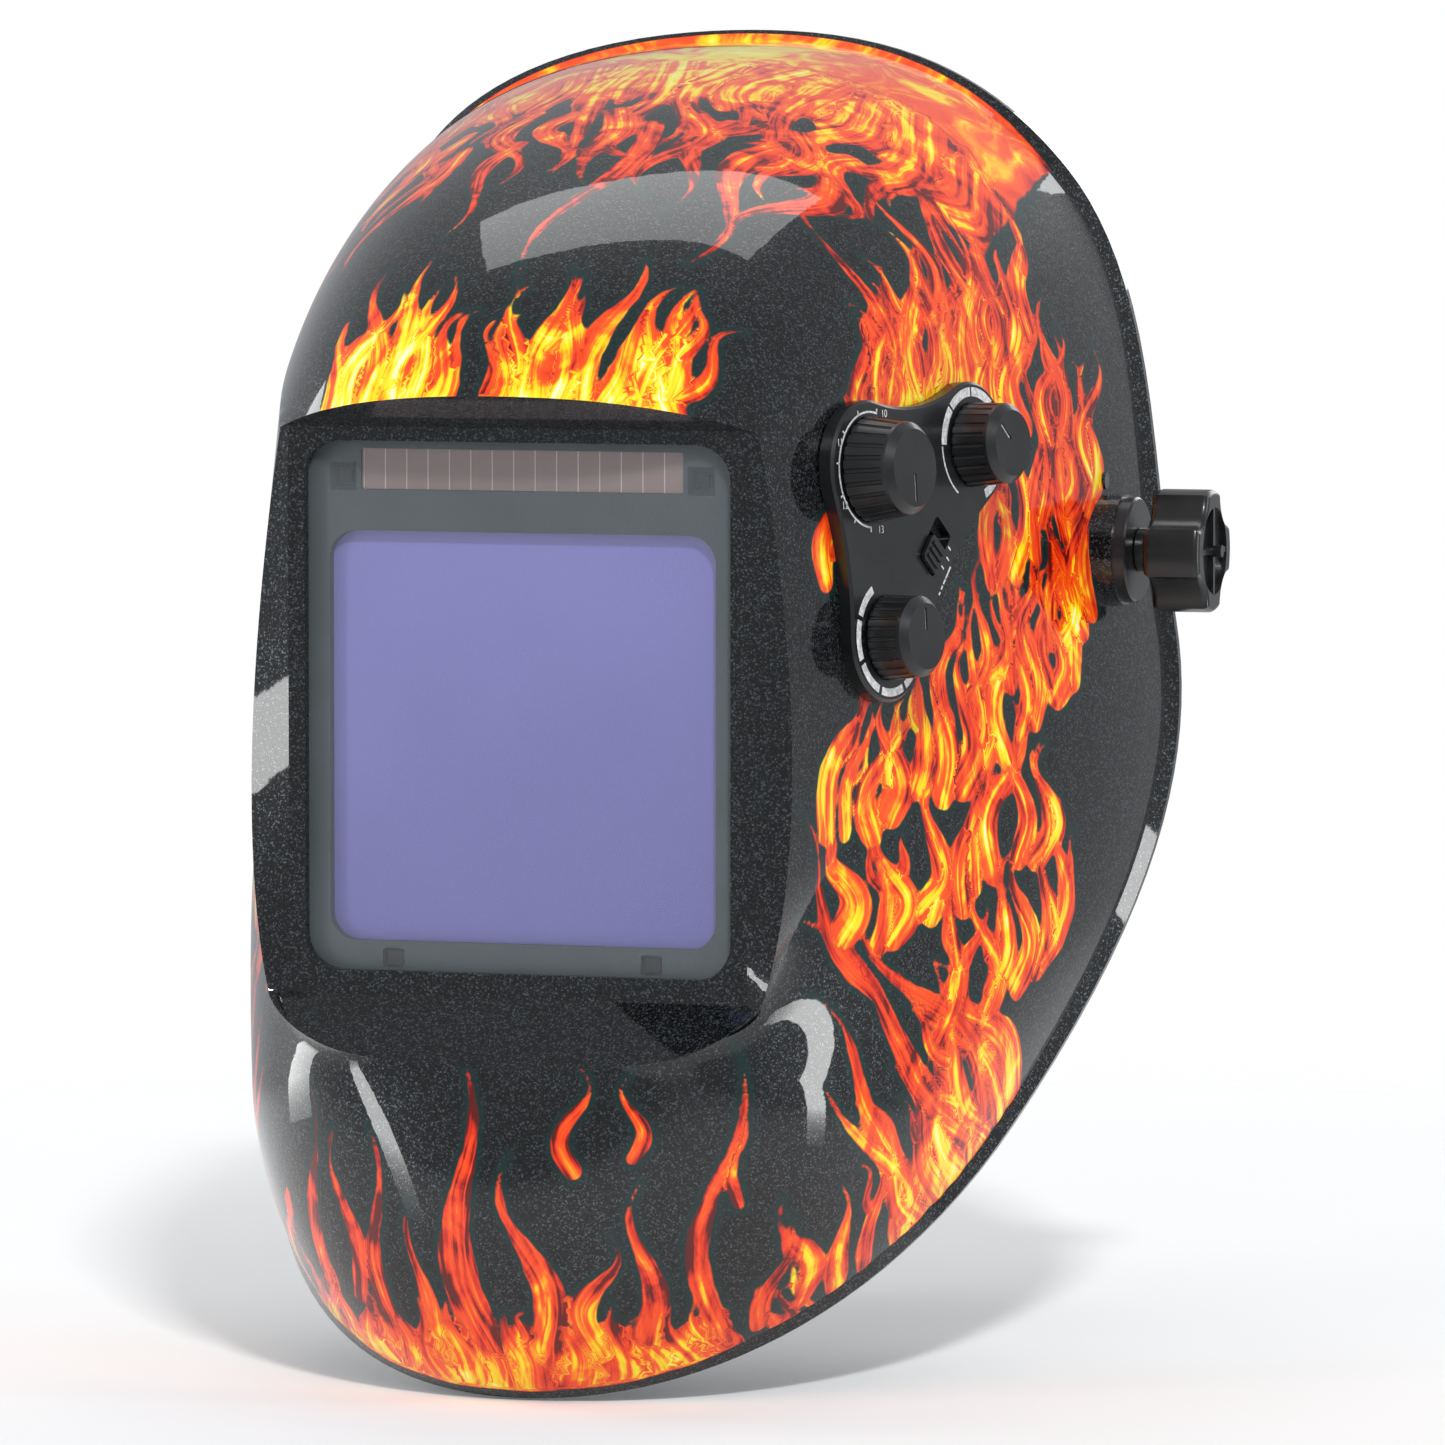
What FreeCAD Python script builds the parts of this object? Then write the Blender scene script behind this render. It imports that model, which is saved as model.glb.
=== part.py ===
"""Auto-darkening welding helmet: shell, filter cartridge, control panel and ratchet headgear.

Frame: millimetres, +Z up, front of the mask towards -Y, wearer's left towards +X.
The origin is the middle of the flip-up axis, half-way between the two pivots.
"""
import FreeCAD, Part
import math
import os

V = FreeCAD.Vector

# ---------------------------------------------------------------- driving dimensions
LENS_FRONT = -152.0        # y of the flat lens frame, ahead of the pivots
WALL = 2.5                 # shell wall
FRAME_T = 2.8              # flat lens frame
FRAME_HALF_W = 59.8
FRAME_TOP, FRAME_BOTTOM = 35.5, -105.0
APERTURE_W, APERTURE_H, APERTURE_Z, APERTURE_R = 111.0, 131.0, -33.5, 9.0
LIP_OUT, LIP_BACK, LIP_T = 3.0, 3.0, 2.2   # flared rim: reach, depth and thickness

CARTRIDGE_W, CARTRIDGE_H, CARTRIDGE_T = 114.0, 133.0, 10.0
CARTRIDGE_FRONT = 4.0      # behind the frame's front face
WINDOW_W, WINDOW_H, WINDOW_Z, WINDOW_R = 100.8, 101.6, -41.2, 7.0
WINDOW_RECESS = 3.0
SOLAR_W, SOLAR_H, SOLAR_Z = 84.0, 10.2, 24.9
SENSOR_TOP, SENSOR_BOTTOM = (46.7, 23.0), (33.7, -96.2)   # x and z of the light sensors
HOLDER_W, HOLDER_H, HOLDER_FROM, HOLDER_TO = 120.4, 139.4, 9.0, 19.0
HOLDER_SCREW_X, HOLDER_SCREW_Z = 63.2, (12.0, -78.0)
BOSS_R, PILOT_R = 2.8, 1.25                  # the shell's bosses for those screws

# The pivots: 1 is the wearer's left, with the hand knob, and -1 the right, with a flat coin nut.
PIVOT_PAD_X = {1: 111.6, -1: 109.4}          # flat seat round each pivot hole
PIVOT_PAD_IN, PIVOT_PAD_R = 104.0, 14.2
BOLT_R, BOLT_HOLE_R = 4.0, 4.05
WASHER_R = {1: 13.5, -1: 12.0}
WASHER_T = {1: 3.5, -1: 0.8}
WASHER_CHAMFER = {1: 0.5, -1: 0.2}
HUB_R, HUB_L = 5.6, 4.8
GRIP_R, GRIP_L = 15.7, 15.0
NUT_R, NUT_L, NUT_FLUTES = 12.0, 3.2, 20

PANEL_AT = V(87.8, -92.3, 2.2)               # middle of the control panel's outer face
PANEL_OUT = V(0.9627, -0.2637, 0.0613)       # its outward direction
PANEL_T, BOX_DEPTH = 4.0, 11.0
SHADE_AT, DELAY_AT, SENSE_AT = (-24.8, 22.8), (22.4, 27.3), (-20.5, -18.8)
SHADE_LOBE, DELAY_LOBE, SENSE_LOBE = 17.2, 15.8, 16.0

BAND_R, BAND_T, BAND_H = 80.0, 2.0, 26.0     # headband: inner radius, thickness and height
BAND_FRONT, BAND_REAR = -5.0, 25.0           # centres of its front and rear half circles
BAND_TILT = -18.0                            # degrees about X, front edge up
RACK_PITCH, PINION_TEETH = math.pi, 12       # module 1 rack and pinion


# ---------------------------------------------------------------- small helpers
def box(x0, x1, y0, y1, z0, z1):
    return Part.makeBox(x1 - x0, y1 - y0, z1 - z0, V(x0, y0, z0))


def rod(radius, start, end):
    axis = end - start
    return Part.makeCylinder(radius, axis.Length, start, axis)


def cone(r0, r1, start, end):
    axis = end - start
    return Part.makeCone(r0, r1, axis.Length, start, axis)


def depth(d):
    """y of a point that lies d behind the lens frame's front face."""
    return LENS_FRONT + d


def rounded_plate(w, h, zc, d0, d1, r, xc=0.0):
    """Plate with four rounded corners, parallel to the lens frame, from depth d0 to d1."""
    x, z = w / 2.0, h / 2.0
    plate = box(xc - x, xc + x, depth(d0), depth(d1), zc - z, zc + z)
    edges = [e for e in plate.Edges if abs(e.tangentAt(e.FirstParameter).y) > 0.99]
    return plate.makeFillet(r, edges)


def mirror_x(shape):
    return shape.mirror(V(0, 0, 0), V(1, 0, 0))


def fused(first, *rest):
    return first.fuse(list(rest)).removeSplitter()


def group(shapes):
    return Part.makeCompound(shapes)


# ---------------------------------------------------------------- shell surface
# Each loop runs from the top centre round the wearer's left side to the bottom centre.
# A point is (half-width, depth behind the lens frame, height). None is half-way between
# its neighbours, and the two ends are the neighbours' own height at half-width 0.
FRAME_X = (0, 20, 40, FRAME_HALF_W, FRAME_HALF_W, FRAME_HALF_W, FRAME_HALF_W, 55, 48, 40, 30, 15, 0)
FRAME_Z = (FRAME_TOP,) * 4 + (-11, -58.5) + (FRAME_BOTTOM,) * 7
BROW = [None, (36, -18, 44), (52, -7, 39), (62.2, 1, 35), (70, 4, -8), (75.5, 4, -68), (64, -3, -106),
        (59, -8, -112), (50, -12, -116), None, (34, -15, -119.5), (17, -15, -121), None]
FRONT = [None, (38, 8, 88), (65, 18, 76), (80, 43, 50), (81, 50, 14), (81, 54, -20), (82, 40, -30),
         (91, 43, -66), (86, 28, -108), None, (64, -16, -131), (32, -25, -142), None]
BACK = [None, (38, 85, 125), (72, 82, 108), (93, 115, 72), (103, 122, 36), (106, 120, 6),
        (109, 116, -22), (117, 108, -60), (107, 82, -110), None, (79, 14, -170), (40, -20, -184), None]
RIM = [None, (34, 184, 132.7), (69, 163, 125.3), None, (110.5, 183, 68), (109.5, 180, 21), None,
       (125.5, 172.5, -60), (117, 142, -100), None, (82, 41.5, -185), (46, 0.5, -204), None]
RIM_MIDDLE_Z = -35.0
SEGMENTS = (0, 3, 6, 9)


def loop(points):
    """The 13 control points of a loop, as vectors in the part's frame."""
    out = [None if p is None else V(p[0], depth(p[1]), p[2]) for p in points]
    out[0] = V(0, out[1].y, out[1].z)
    out[12] = V(0, out[11].y, out[11].z)
    for i in (3, 6, 9):
        if out[i] is None:
            out[i] = (out[i - 1] + out[i + 1]) * 0.5
    return out


def rim_base(rim):
    """Where the wall ends and the flared lip starts."""
    out = []
    for p in rim:
        flat = V(p.x, 0, p.z - RIM_MIDDLE_Z)
        k = 1.0 - LIP_OUT / flat.Length
        out.append(V(p.x * k, p.y - LIP_BACK, RIM_MIDDLE_Z + flat.z * k))
    return out


def surface(rows):
    """Bezier surface through rows of four control points each."""
    n = len(rows) - 1
    srf = Part.BSplineSurface()
    srf.buildFromPolesMultsKnots([list(r) for r in rows], [n + 1] * 2, [4, 4], [0, 1], [0, 1],
                                 False, False, n, 3)
    return srf


def outward(srf, u, v):
    n = srf.normal(u, v)
    p = srf.value(u, v)
    middle = V(0, -20, -30)
    return n if n.dot(p - middle) > 0 else n * -1.0


def mitred(point, normals, t):
    """The point moved inwards so that it lies t under every face that it belongs to."""
    d = V(0, 0, 0)
    for _ in range(300):
        for n in normals:
            d = d + n * (-t - n.dot(d))
    return point + d


def inner_rows(rows, ledge):
    """Control points of the inside surface, from the outside's four rows and its front ledge."""
    normals = [[[] for _ in range(13)] for _ in rows]
    for s in SEGMENTS:
        wall = surface([r[s:s + 4] for r in rows])
        front = surface([ledge[s:s + 4], rows[0][s:s + 4]])
        for j in range(4):
            for i in range(4):
                normals[i][s + j].append(outward(wall, i / 3.0, j / 3.0))
            n = front.normal(1.0, j / 3.0)
            normals[0][s + j].append(n if n.y < 0 else n * -1.0)
    out = []
    for i, row in enumerate(rows):
        new = []
        for j, p in enumerate(row):
            ns = normals[i][j]
            if j in (0, 12):
                ns = ns + [V(-n.x, n.y, n.z) for n in ns]
            new.append(mitred(p, ns, WALL))
            if j in (0, 12):
                new[-1].x = 0.0
        out.append(new)
    out[-1] = [p + V(0, LIP_T, 0) for p in out[-1]]
    return out


def shell_skins():
    frame = [V(x, depth(0), z) for x, z in zip(FRAME_X, FRAME_Z)]
    brow, front, back, rim = loop(BROW), loop(FRONT), loop(BACK), loop(RIM)
    base = rim_base(rim)
    rows = [brow, front, back, base]
    inner = inner_rows(rows, frame)
    frame_in = [V(p.x * (FRAME_HALF_W - 1.2) / FRAME_HALF_W, depth(FRAME_T),
                  RIM_MIDDLE_Z + (p.z - RIM_MIDDLE_Z) * 0.983) for p in frame]
    rim_back = [p + V(0, LIP_T, 0) for p in rim]
    strips = [[frame, brow], rows, [base, rim], [rim, rim_back], [rim_back, inner[3]],
              inner[::-1], [inner[0], frame_in]]
    return strips, frame, frame_in


def shell_body():
    strips, frame, frame_in = shell_skins()
    faces = []
    for s in SEGMENTS:
        for strip in strips:
            face = surface([row[s:s + 4] for row in strip]).toShape()
            faces += [face, mirror_x(face)]
    for row in (frame, frame_in):
        half = [(p.x, p.z) for p in (row[0], row[3], row[6], row[12])]
        outline = half + [(-x, z) for x, z in half[2:0:-1]]
        points = [V(x, row[0].y, z) for x, z in outline]
        faces.append(Part.Face(Part.makePolygon(points + points[:1])))
    skin = Part.makeCompound(faces)
    skin.sewShape()
    solid = Part.Solid(Part.Shell(skin.Faces))
    if solid.Volume < 0:
        solid.reverse()
    return solid


def shell():
    body = shell_body()
    window = rounded_plate(APERTURE_W, APERTURE_H, APERTURE_Z, -1.0, FRAME_T + 1.0, APERTURE_R)
    seat = on_panel(extruded(panel_outline(), -PANEL_T, 2.0))
    opening = on_panel(extruded(panel_outline(2.0), -25.0, 0.0))
    cuts = [window, seat, opening]
    adds = []
    for side in (1, -1):
        at = V(side, 0, 0)
        adds += [rod(PIVOT_PAD_R, at * PIVOT_PAD_IN, at * PIVOT_PAD_X[side]), stop_pin(side)]
        cuts.append(rod(PIVOT_PAD_R + 0.4, at * PIVOT_PAD_X[side], at * 125.0))
        cuts.append(rod(PIVOT_PAD_R + 0.4, at * 92.0, at * PIVOT_PAD_IN))
        cuts.append(rod(BOLT_HOLE_R, at * 90.0, at * 125.0))
        for z in HOLDER_SCREW_Z:
            x = side * HOLDER_SCREW_X
            adds.append(rod(BOSS_R, V(x, depth(FRAME_T), z), V(x, depth(11.7), z)))
            cuts.append(rod(PILOT_R, V(x, depth(5.5), z), V(x, depth(12.5), z)))
    return body.fuse(adds).cut(cuts)


# ---------------------------------------------------------------- filter cartridge
def front_cover_lens():
    return rounded_plate(CARTRIDGE_W - 1.4, CARTRIDGE_H - 0.6, APERTURE_Z, FRAME_T, FRAME_T + 1.0, 4.0)


BAY_H, BAY_FROM = 13.0, 3.2   # height and front face of the bay behind the solar panel


def filter_housing():
    back = CARTRIDGE_FRONT + CARTRIDGE_T
    body = rounded_plate(CARTRIDGE_W, CARTRIDGE_H, APERTURE_Z, CARTRIDGE_FRONT, back, 5.0)
    glass_from = CARTRIDGE_FRONT + WINDOW_RECESS
    cuts = [rounded_plate(WINDOW_W, WINDOW_H, WINDOW_Z, CARTRIDGE_FRONT - 1, glass_from, WINDOW_R),
            rounded_plate(WINDOW_W + 4, WINDOW_H + 4, WINDOW_Z, glass_from, back + 1, 3.0),
            rounded_plate(SOLAR_W, SOLAR_H, SOLAR_Z, CARTRIDGE_FRONT - 1, CARTRIDGE_FRONT + 1.6, 0.6),
            rounded_plate(WINDOW_W, BAY_H, SOLAR_Z, CARTRIDGE_FRONT + BAY_FROM, back + 1, 2.0)]
    for side in (1, -1):
        x, z = SENSOR_TOP
        cuts.append(sensor_recess(side * x, z))
        x, z = SENSOR_BOTTOM
        cuts.append(rounded_plate(5.6, 5.0, z, CARTRIDGE_FRONT - 1, CARTRIDGE_FRONT + 2.4, 0.8, side * x))
    return body.cut(cuts)


def sensor_recess(x, z):
    """Square funnel: 7 mm wide at the face, 4 mm wide where the light sensor sits."""
    def square(half, d):
        corners = [(-half, -half), (half, -half), (half, half), (-half, half), (-half, -half)]
        return Part.makePolygon([V(x + a, depth(d), z + b) for a, b in corners])
    return Part.makeLoft([square(3.6, CARTRIDGE_FRONT - 0.1), square(2.1, CARTRIDGE_FRONT + 2.0)], True)


def filter_glass():
    d = CARTRIDGE_FRONT + WINDOW_RECESS
    return rounded_plate(WINDOW_W + 3.6, WINDOW_H + 3.6, WINDOW_Z, d, d + 4.0, 3.0)


def solar_panel():
    return rounded_plate(SOLAR_W - 0.2, SOLAR_H - 0.2, SOLAR_Z, CARTRIDGE_FRONT + 0.6,
                         CARTRIDGE_FRONT + 1.6, 0.5)


def light_sensors():
    eyes = []
    for side in (1, -1):
        x, z = SENSOR_TOP
        eyes.append(box(side * x - 1.7, side * x + 1.7, depth(CARTRIDGE_FRONT + 1.2),
                        depth(CARTRIDGE_FRONT + 2.0), z - 1.7, z + 1.7))
        x, z = SENSOR_BOTTOM
        eyes.append(box(side * x - 2.0, side * x + 2.0, depth(CARTRIDGE_FRONT + 1.6),
                        depth(CARTRIDGE_FRONT + 2.4), z - 1.8, z + 1.8))
    return group(eyes)


def filter_board():
    front = CARTRIDGE_FRONT + BAY_FROM
    return rounded_plate(WINDOW_W - 2.0, BAY_H - 1.0, SOLAR_Z, front, front + 1.6, 1.0)


def filter_back():
    back = CARTRIDGE_FRONT + CARTRIDGE_T
    plate = rounded_plate(CARTRIDGE_W, CARTRIDGE_H, APERTURE_Z, back, back + 1.4, 5.0)
    window = rounded_plate(WINDOW_W, WINDOW_H, WINDOW_Z, back - 1, back + 2, WINDOW_R)
    return plate.cut([window, rod(BUTTON_R + 0.15, V(BUTTON_X, depth(back - 1), BUTTON_Z),
                                  V(BUTTON_X, depth(back + 2), BUTTON_Z)),
                      rod(1.7, V(CABLE_X, depth(back - 1), CABLE_Z), V(CABLE_X, depth(back + 2), CABLE_Z))])


BUTTON_X, BUTTON_Z, BUTTON_R = 30.0, 24.0, 3.5


def test_button():
    back = depth(CARTRIDGE_FRONT + CARTRIDGE_T)
    cap = rod(BUTTON_R, V(BUTTON_X, back - 0.2, BUTTON_Z), V(BUTTON_X, back + 3.2, BUTTON_Z))
    skirt = rod(BUTTON_R + 1.2, V(BUTTON_X, back - 1.2, BUTTON_Z), V(BUTTON_X, back - 0.2, BUTTON_Z))
    return fused(cap, skirt)


def inner_cover_lens():
    d = CARTRIDGE_FRONT + CARTRIDGE_T + 1.5
    return rounded_plate(WINDOW_W + 6, WINDOW_H + 4, WINDOW_Z, d, d + 1.0, 3.0)


def lens_holder():
    """Ring round the cartridge: a lip below, a sliding latch's tab above, four screw ears."""
    ring = rounded_plate(HOLDER_W, HOLDER_H, APERTURE_Z, HOLDER_FROM, HOLDER_TO, 7.0)
    tab = box(LATCH_X - LATCH_W / 2 - 4, LATCH_X + LATCH_W / 2 + 4, depth(14), depth(HOLDER_TO), 34, TAB_TOP)
    hole = rounded_plate(CARTRIDGE_W + 0.4, CARTRIDGE_H + 0.4, APERTURE_Z, HOLDER_FROM - 1, LIP_FROM, 5.2)
    top = APERTURE_Z + (CARTRIDGE_H + 0.4) / 2
    opening = rounded_plate(CARTRIDGE_W + 0.4, top - LIP_TOP, (top + LIP_TOP) / 2,
                            LIP_FROM - 1, HOLDER_TO + 1, 5.2)
    notch = box(LATCH_X - TONGUE_W / 2 - 0.5, LATCH_X + TONGUE_W / 2 + 0.5, depth(LIP_FROM - 1.4),
                depth(HOLDER_TO + 1), 30, 39.5)
    ears, holes = [], []
    for side in (1, -1):
        for z in HOLDER_SCREW_Z:
            x = side * HOLDER_SCREW_X
            x0, x1 = sorted((side * 58, side * (HOLDER_SCREW_X + 2.9)))
            ears.append(box(x0, x1, depth(12.0), depth(14.5), z - 4, z + 4))
            holes.append(rod(1.6, V(x, depth(11), z), V(x, depth(16), z)))
    rails = []
    for side in (1, -1):
        inner, outer = LATCH_W / 2 + 0.3, LATCH_W / 2 + 2.5
        for reach, d0, d1 in ((0.0, 0.0, 4.0), (1.4, LATCH_T + 0.7, 4.0)):
            x0, x1 = sorted((LATCH_X + side * (inner - reach), LATCH_X + side * outer))
            rails.append(box(x0, x1, depth(HOLDER_TO + d0), depth(HOLDER_TO + d1), 34, TAB_TOP))
    return ring.fuse(ears + [tab]).cut([hole, opening, notch] + holes).fuse(rails).removeSplitter()


LIP_FROM, LIP_TOP = 16.6, -88.0          # depth and height of the holder's lower lip
LATCH_X, LATCH_W, LATCH_T = -36.0, 24.0, 2.2
TONGUE_W, TAB_TOP = 20.0, 47.0


def lens_latch():
    """Sliding catch whose tongue keeps the cartridge in; raised, it clears the cartridge."""
    d = HOLDER_TO + 0.3
    plate = box(LATCH_X - LATCH_W / 2, LATCH_X + LATCH_W / 2, depth(d), depth(d + LATCH_T), 29, 44)
    tongue = box(LATCH_X - TONGUE_W / 2, LATCH_X + TONGUE_W / 2, depth(LIP_FROM - 0.9), depth(d + 0.5), 29, 33)
    grip = [box(LATCH_X - 8, LATCH_X + 8, depth(d + LATCH_T), depth(d + LATCH_T + 1.2), z, z + 1.4)
            for z in (30.0, 33.4, 36.8, 40.2)]
    return fused(plate, tongue, *grip)


def holder_screws():
    screws = []
    for side in (1, -1):
        for z in HOLDER_SCREW_Z:
            x = side * HOLDER_SCREW_X
            head = rod(2.7, V(x, depth(14.5), z), V(x, depth(16.3), z))
            shank = rod(1.25, V(x, depth(6.0), z), V(x, depth(14.5), z))
            slot = box(x - 2.2, x + 2.2, depth(15.6), depth(17), z - 0.4, z + 0.4)
            cross = box(x - 0.4, x + 0.4, depth(15.6), depth(17), z - 2.2, z + 2.2)
            screws.append(head.fuse(shank).cut([slot, cross]))
    return group(screws)


# ---------------------------------------------------------------- control panel
def panel_axes():
    up = V(0, 0, 1) - PANEL_OUT * PANEL_OUT.z
    up.normalize()
    return up.cross(PANEL_OUT), up, PANEL_OUT


def on_panel(shape):
    """Place a shape drawn with x rearwards, y up and z outwards from the panel's face."""
    a, b, n = panel_axes()
    m = FreeCAD.Matrix(a.x, b.x, n.x, PANEL_AT.x, a.y, b.y, n.y, PANEL_AT.y,
                       a.z, b.z, n.z, PANEL_AT.z, 0, 0, 0, 1)
    out = shape.copy()
    out.Placement = FreeCAD.Placement(m).multiply(out.Placement)
    return out


def waist_centre(c0, r0, c1, r1, radius):
    """Centre of the hollow arc that touches two lobes from outside, on the left of c0 to c1."""
    d = c1 - c0
    a, b = r0 + radius, r1 + radius
    x = (a * a - b * b + d.Length ** 2) / (2 * d.Length)
    y = math.sqrt(a * a - x * x)
    e = V(d).normalize()
    return c0 + e * x + V(-e.y, e.x, 0) * y


def panel_outline(inset=0.0):
    """Three lobes joined by hollow arcs, clockwise from the shade lobe."""
    lobes = [(V(*SHADE_AT), SHADE_LOBE), (V(*DELAY_AT), DELAY_LOBE), (V(*SENSE_AT), SENSE_LOBE)]
    hollows = (60.0, 95.0, 80.0)
    centre = (lobes[0][0] + lobes[1][0] + lobes[2][0]) * (1 / 3.0)
    starts, ends, waists = [], [], []
    for i in range(3):
        (c0, r0), (c1, r1), radius = lobes[i], lobes[(i + 1) % 3], hollows[i]
        w = waist_centre(c0, r0, c1, r1, radius)
        starts.append(c0 + (w - c0) * ((r0 - inset) / (r0 + radius)))
        ends.append(c1 + (w - c1) * ((r1 - inset) / (r1 + radius)))
        way = (c0 + c1) * 0.5 - w
        waists.append(w + way * ((radius + inset) / way.Length))
    edges = []
    for i in range(3):
        c, r = lobes[i]
        way = c - centre
        edges.append(Part.Arc(ends[i - 1], c + way * ((r - inset) / way.Length), starts[i]).toShape())
        edges.append(Part.Arc(starts[i], waists[i], ends[i]).toShape())
    return Part.Wire(edges)


def extruded(wire, z0, z1):
    face = Part.Face(wire)
    face.translate(V(0, 0, z0))
    return face.extrude(V(0, 0, z1 - z0))


def slot_shape(length, width, z0, z1):
    """Rounded bar along the mode switch's track, about the middle of its travel."""
    r = min(1.2, 0.4 * min(length, width))
    bar = Part.makeBox(length, width, z1 - z0, V(-length / 2.0, -width / 2.0, z0))
    bar = bar.makeFillet(r, [e for e in bar.Edges if abs(e.tangentAt(e.FirstParameter).z) > 0.99])
    bar.rotate(V(0, 0, 0), V(0, 0, 1), SWITCH_ANGLE)
    return bar


SWITCH_AT, SWITCH_ANGLE, SWITCH_TRAVEL, SWITCH_SIZE = (0.7, 0.7), 47.0, 5.4, 7.6
DIALS = {   # place, base and cap radius, height, and where the pointer stands (0 is rearwards)
    "shade": (SHADE_AT, 13.2, 11.4, 13.0, -90.0),
    "delay": (DELAY_AT, 10.6, 10.0, 12.0, 135.0),
    "sensitivity": (SENSE_AT, 10.6, 10.0, 11.2, 90.0),
}
SHAFT_R, BUSH_R, NUT_T = 3.0, 4.4, 1.8


def at_switch(shape, along=0.0):
    a = math.radians(SWITCH_ANGLE)
    shape.translate(V(SWITCH_AT[0] + along * math.cos(a), SWITCH_AT[1] + along * math.sin(a), 0))
    return shape


def control_panel():
    plate = extruded(panel_outline(), -PANEL_T, 0)
    plate = plate.makeChamfer(0.7, [e for e in plate.Edges if e.BoundBox.ZMin > -0.01])
    cuts = [rod(BUSH_R + 0.1, V(x, y, -5), V(x, y, 1)) for (x, y), *_ in DIALS.values()]
    middle = SWITCH_TRAVEL / 2.0
    cuts.append(at_switch(slot_shape(SWITCH_SIZE + SWITCH_TRAVEL + 0.6, SWITCH_SIZE + 0.6, -2.4, 1), middle))
    cuts.append(at_switch(slot_shape(3.0 + SWITCH_TRAVEL + 0.6, 3.6, -5, 0), middle))
    return on_panel(plate.cut(cuts + panel_screw_shanks(SCREW_R)))


def mode_switch():
    cap = slot_shape(SWITCH_SIZE, SWITCH_SIZE, -2.3, 1.2)
    ridges = [slot_shape(1.0, 5.6, 1.2, 1.7) for _ in range(3)]
    a = math.radians(SWITCH_ANGLE)
    for ridge, step in zip(ridges, (-2.0, 0.0, 2.0)):
        ridge.translate(V(step * math.cos(a), step * math.sin(a), 0))
    stem = slot_shape(2.6, 2.6, -8.0, -2.3)
    return on_panel(at_switch(fused(cap, stem, *ridges)))


def knob(place, base_r, cap_r, height, pointing):
    """Fluted, slightly tapered knob with a chamfered cap, a pointer slot and its shaft."""
    x, y = place
    chamfer, flutes = 1.8, 24
    body = cone(base_r, cap_r, V(x, y, 0.5), V(x, y, height - chamfer))
    cap = cone(cap_r, cap_r - chamfer, V(x, y, height - chamfer), V(x, y, height))
    hollow = rod(8.2, V(x, y, 0.4), V(x, y, NUT_T + 1.4))
    shaft = rod(SHAFT_R, V(x, y, -9.5), V(x, y, NUT_T + 1.5))
    cuts = [hollow]
    for i in range(flutes):
        a = 2 * math.pi * i / flutes
        r0, r1 = base_r + 0.3, cap_r + 0.3
        cuts.append(rod(0.65, V(x + r0 * math.cos(a), y + r0 * math.sin(a), 0),
                        V(x + r1 * math.cos(a), y + r1 * math.sin(a), height - chamfer - 0.8)))
    pointer = box(1.5, cap_r - 3.0, -0.45, 0.45, height - 0.5, height + 1)
    pointer.rotate(V(0, 0, 0), V(0, 0, 1), pointing)
    pointer.translate(V(x, y, 0))
    return on_panel(body.fuse(cap).cut(cuts + [pointer]).fuse(shaft))


def potentiometers():
    pots = []
    for (x, y), *_ in DIALS.values():
        can = rod(7.8, V(x, y, -12.0), V(x, y, -5.2))
        bush = rod(BUSH_R, V(x, y, -5.2), V(x, y, NUT_T))
        pots.append(can.fuse(bush).cut(rod(SHAFT_R + 0.05, V(x, y, -9.7), V(x, y, NUT_T + 1))))
    return on_panel(group(pots))


def pot_nuts():
    nuts = []
    for (x, y), *_ in DIALS.values():
        corners = [V(x + 6.4 * math.cos(k * math.pi / 3), y + 6.4 * math.sin(k * math.pi / 3), 0)
                   for k in range(7)]
        nut = Part.Face(Part.makePolygon(corners)).extrude(V(0, 0, NUT_T - 0.3))
        nuts.append(nut.cut(rod(BUSH_R, V(x, y, -1), V(x, y, 3))))
    return on_panel(group(nuts))


TRAY_AT, TRAY_W, TRAY_L, TRAY_T = (-15.0, 2.0), 25.0, 26.0, 4.6
BOX_WALL = 1.5


def control_box():
    """Housing behind the panel, with a pocket for the battery tray that opens downwards."""
    floor = -PANEL_T - BOX_DEPTH
    outer = extruded(panel_outline(2.2), floor, -PANEL_T)
    x, y = TRAY_AT
    pocket = box(x - TRAY_W / 2 - 1.4, x + TRAY_W / 2 + 1.4, y - TRAY_L / 2, y + TRAY_L / 2 + 1.4,
                 floor - TRAY_T - 1.6, floor)
    room = extruded(panel_outline(2.2 + BOX_WALL), floor + BOX_WALL, -PANEL_T + 1)
    tray_way = box(x - TRAY_W / 2 - 0.2, x + TRAY_W / 2 + 0.2, y - TRAY_L / 2 - 1, y + TRAY_L / 2 + 0.2,
                   floor - TRAY_T - 0.2, floor)
    lead_hole = rod(1.6, V(*LEAD_EXIT, floor - 1), V(*LEAD_EXIT, floor + 3))
    cuts = [room, tray_way, lead_hole] + panel_screw_shanks(SCREW_R)
    return on_panel(outer.fuse(pocket).cut(cuts).removeSplitter())


LEAD_EXIT = (10.0, 30.5)   # where the sensor lead leaves the box's floor


def control_board():
    """Circuit board on the floor of the box, with the mode switch's contact block."""
    floor = -PANEL_T - BOX_DEPTH + BOX_WALL
    board = extruded(panel_outline(4.2), floor, floor + 1.5)
    block = at_switch(slot_shape(11.0, 7.0, floor + 1.5, -8.2), SWITCH_TRAVEL / 2.0)
    lead = rod(2.2, V(*LEAD_EXIT, floor - 1), V(*LEAD_EXIT, floor + 3))
    return on_panel(board.fuse(block).cut([lead] + panel_screw_shanks(SCREW_R + 0.2)))


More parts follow.
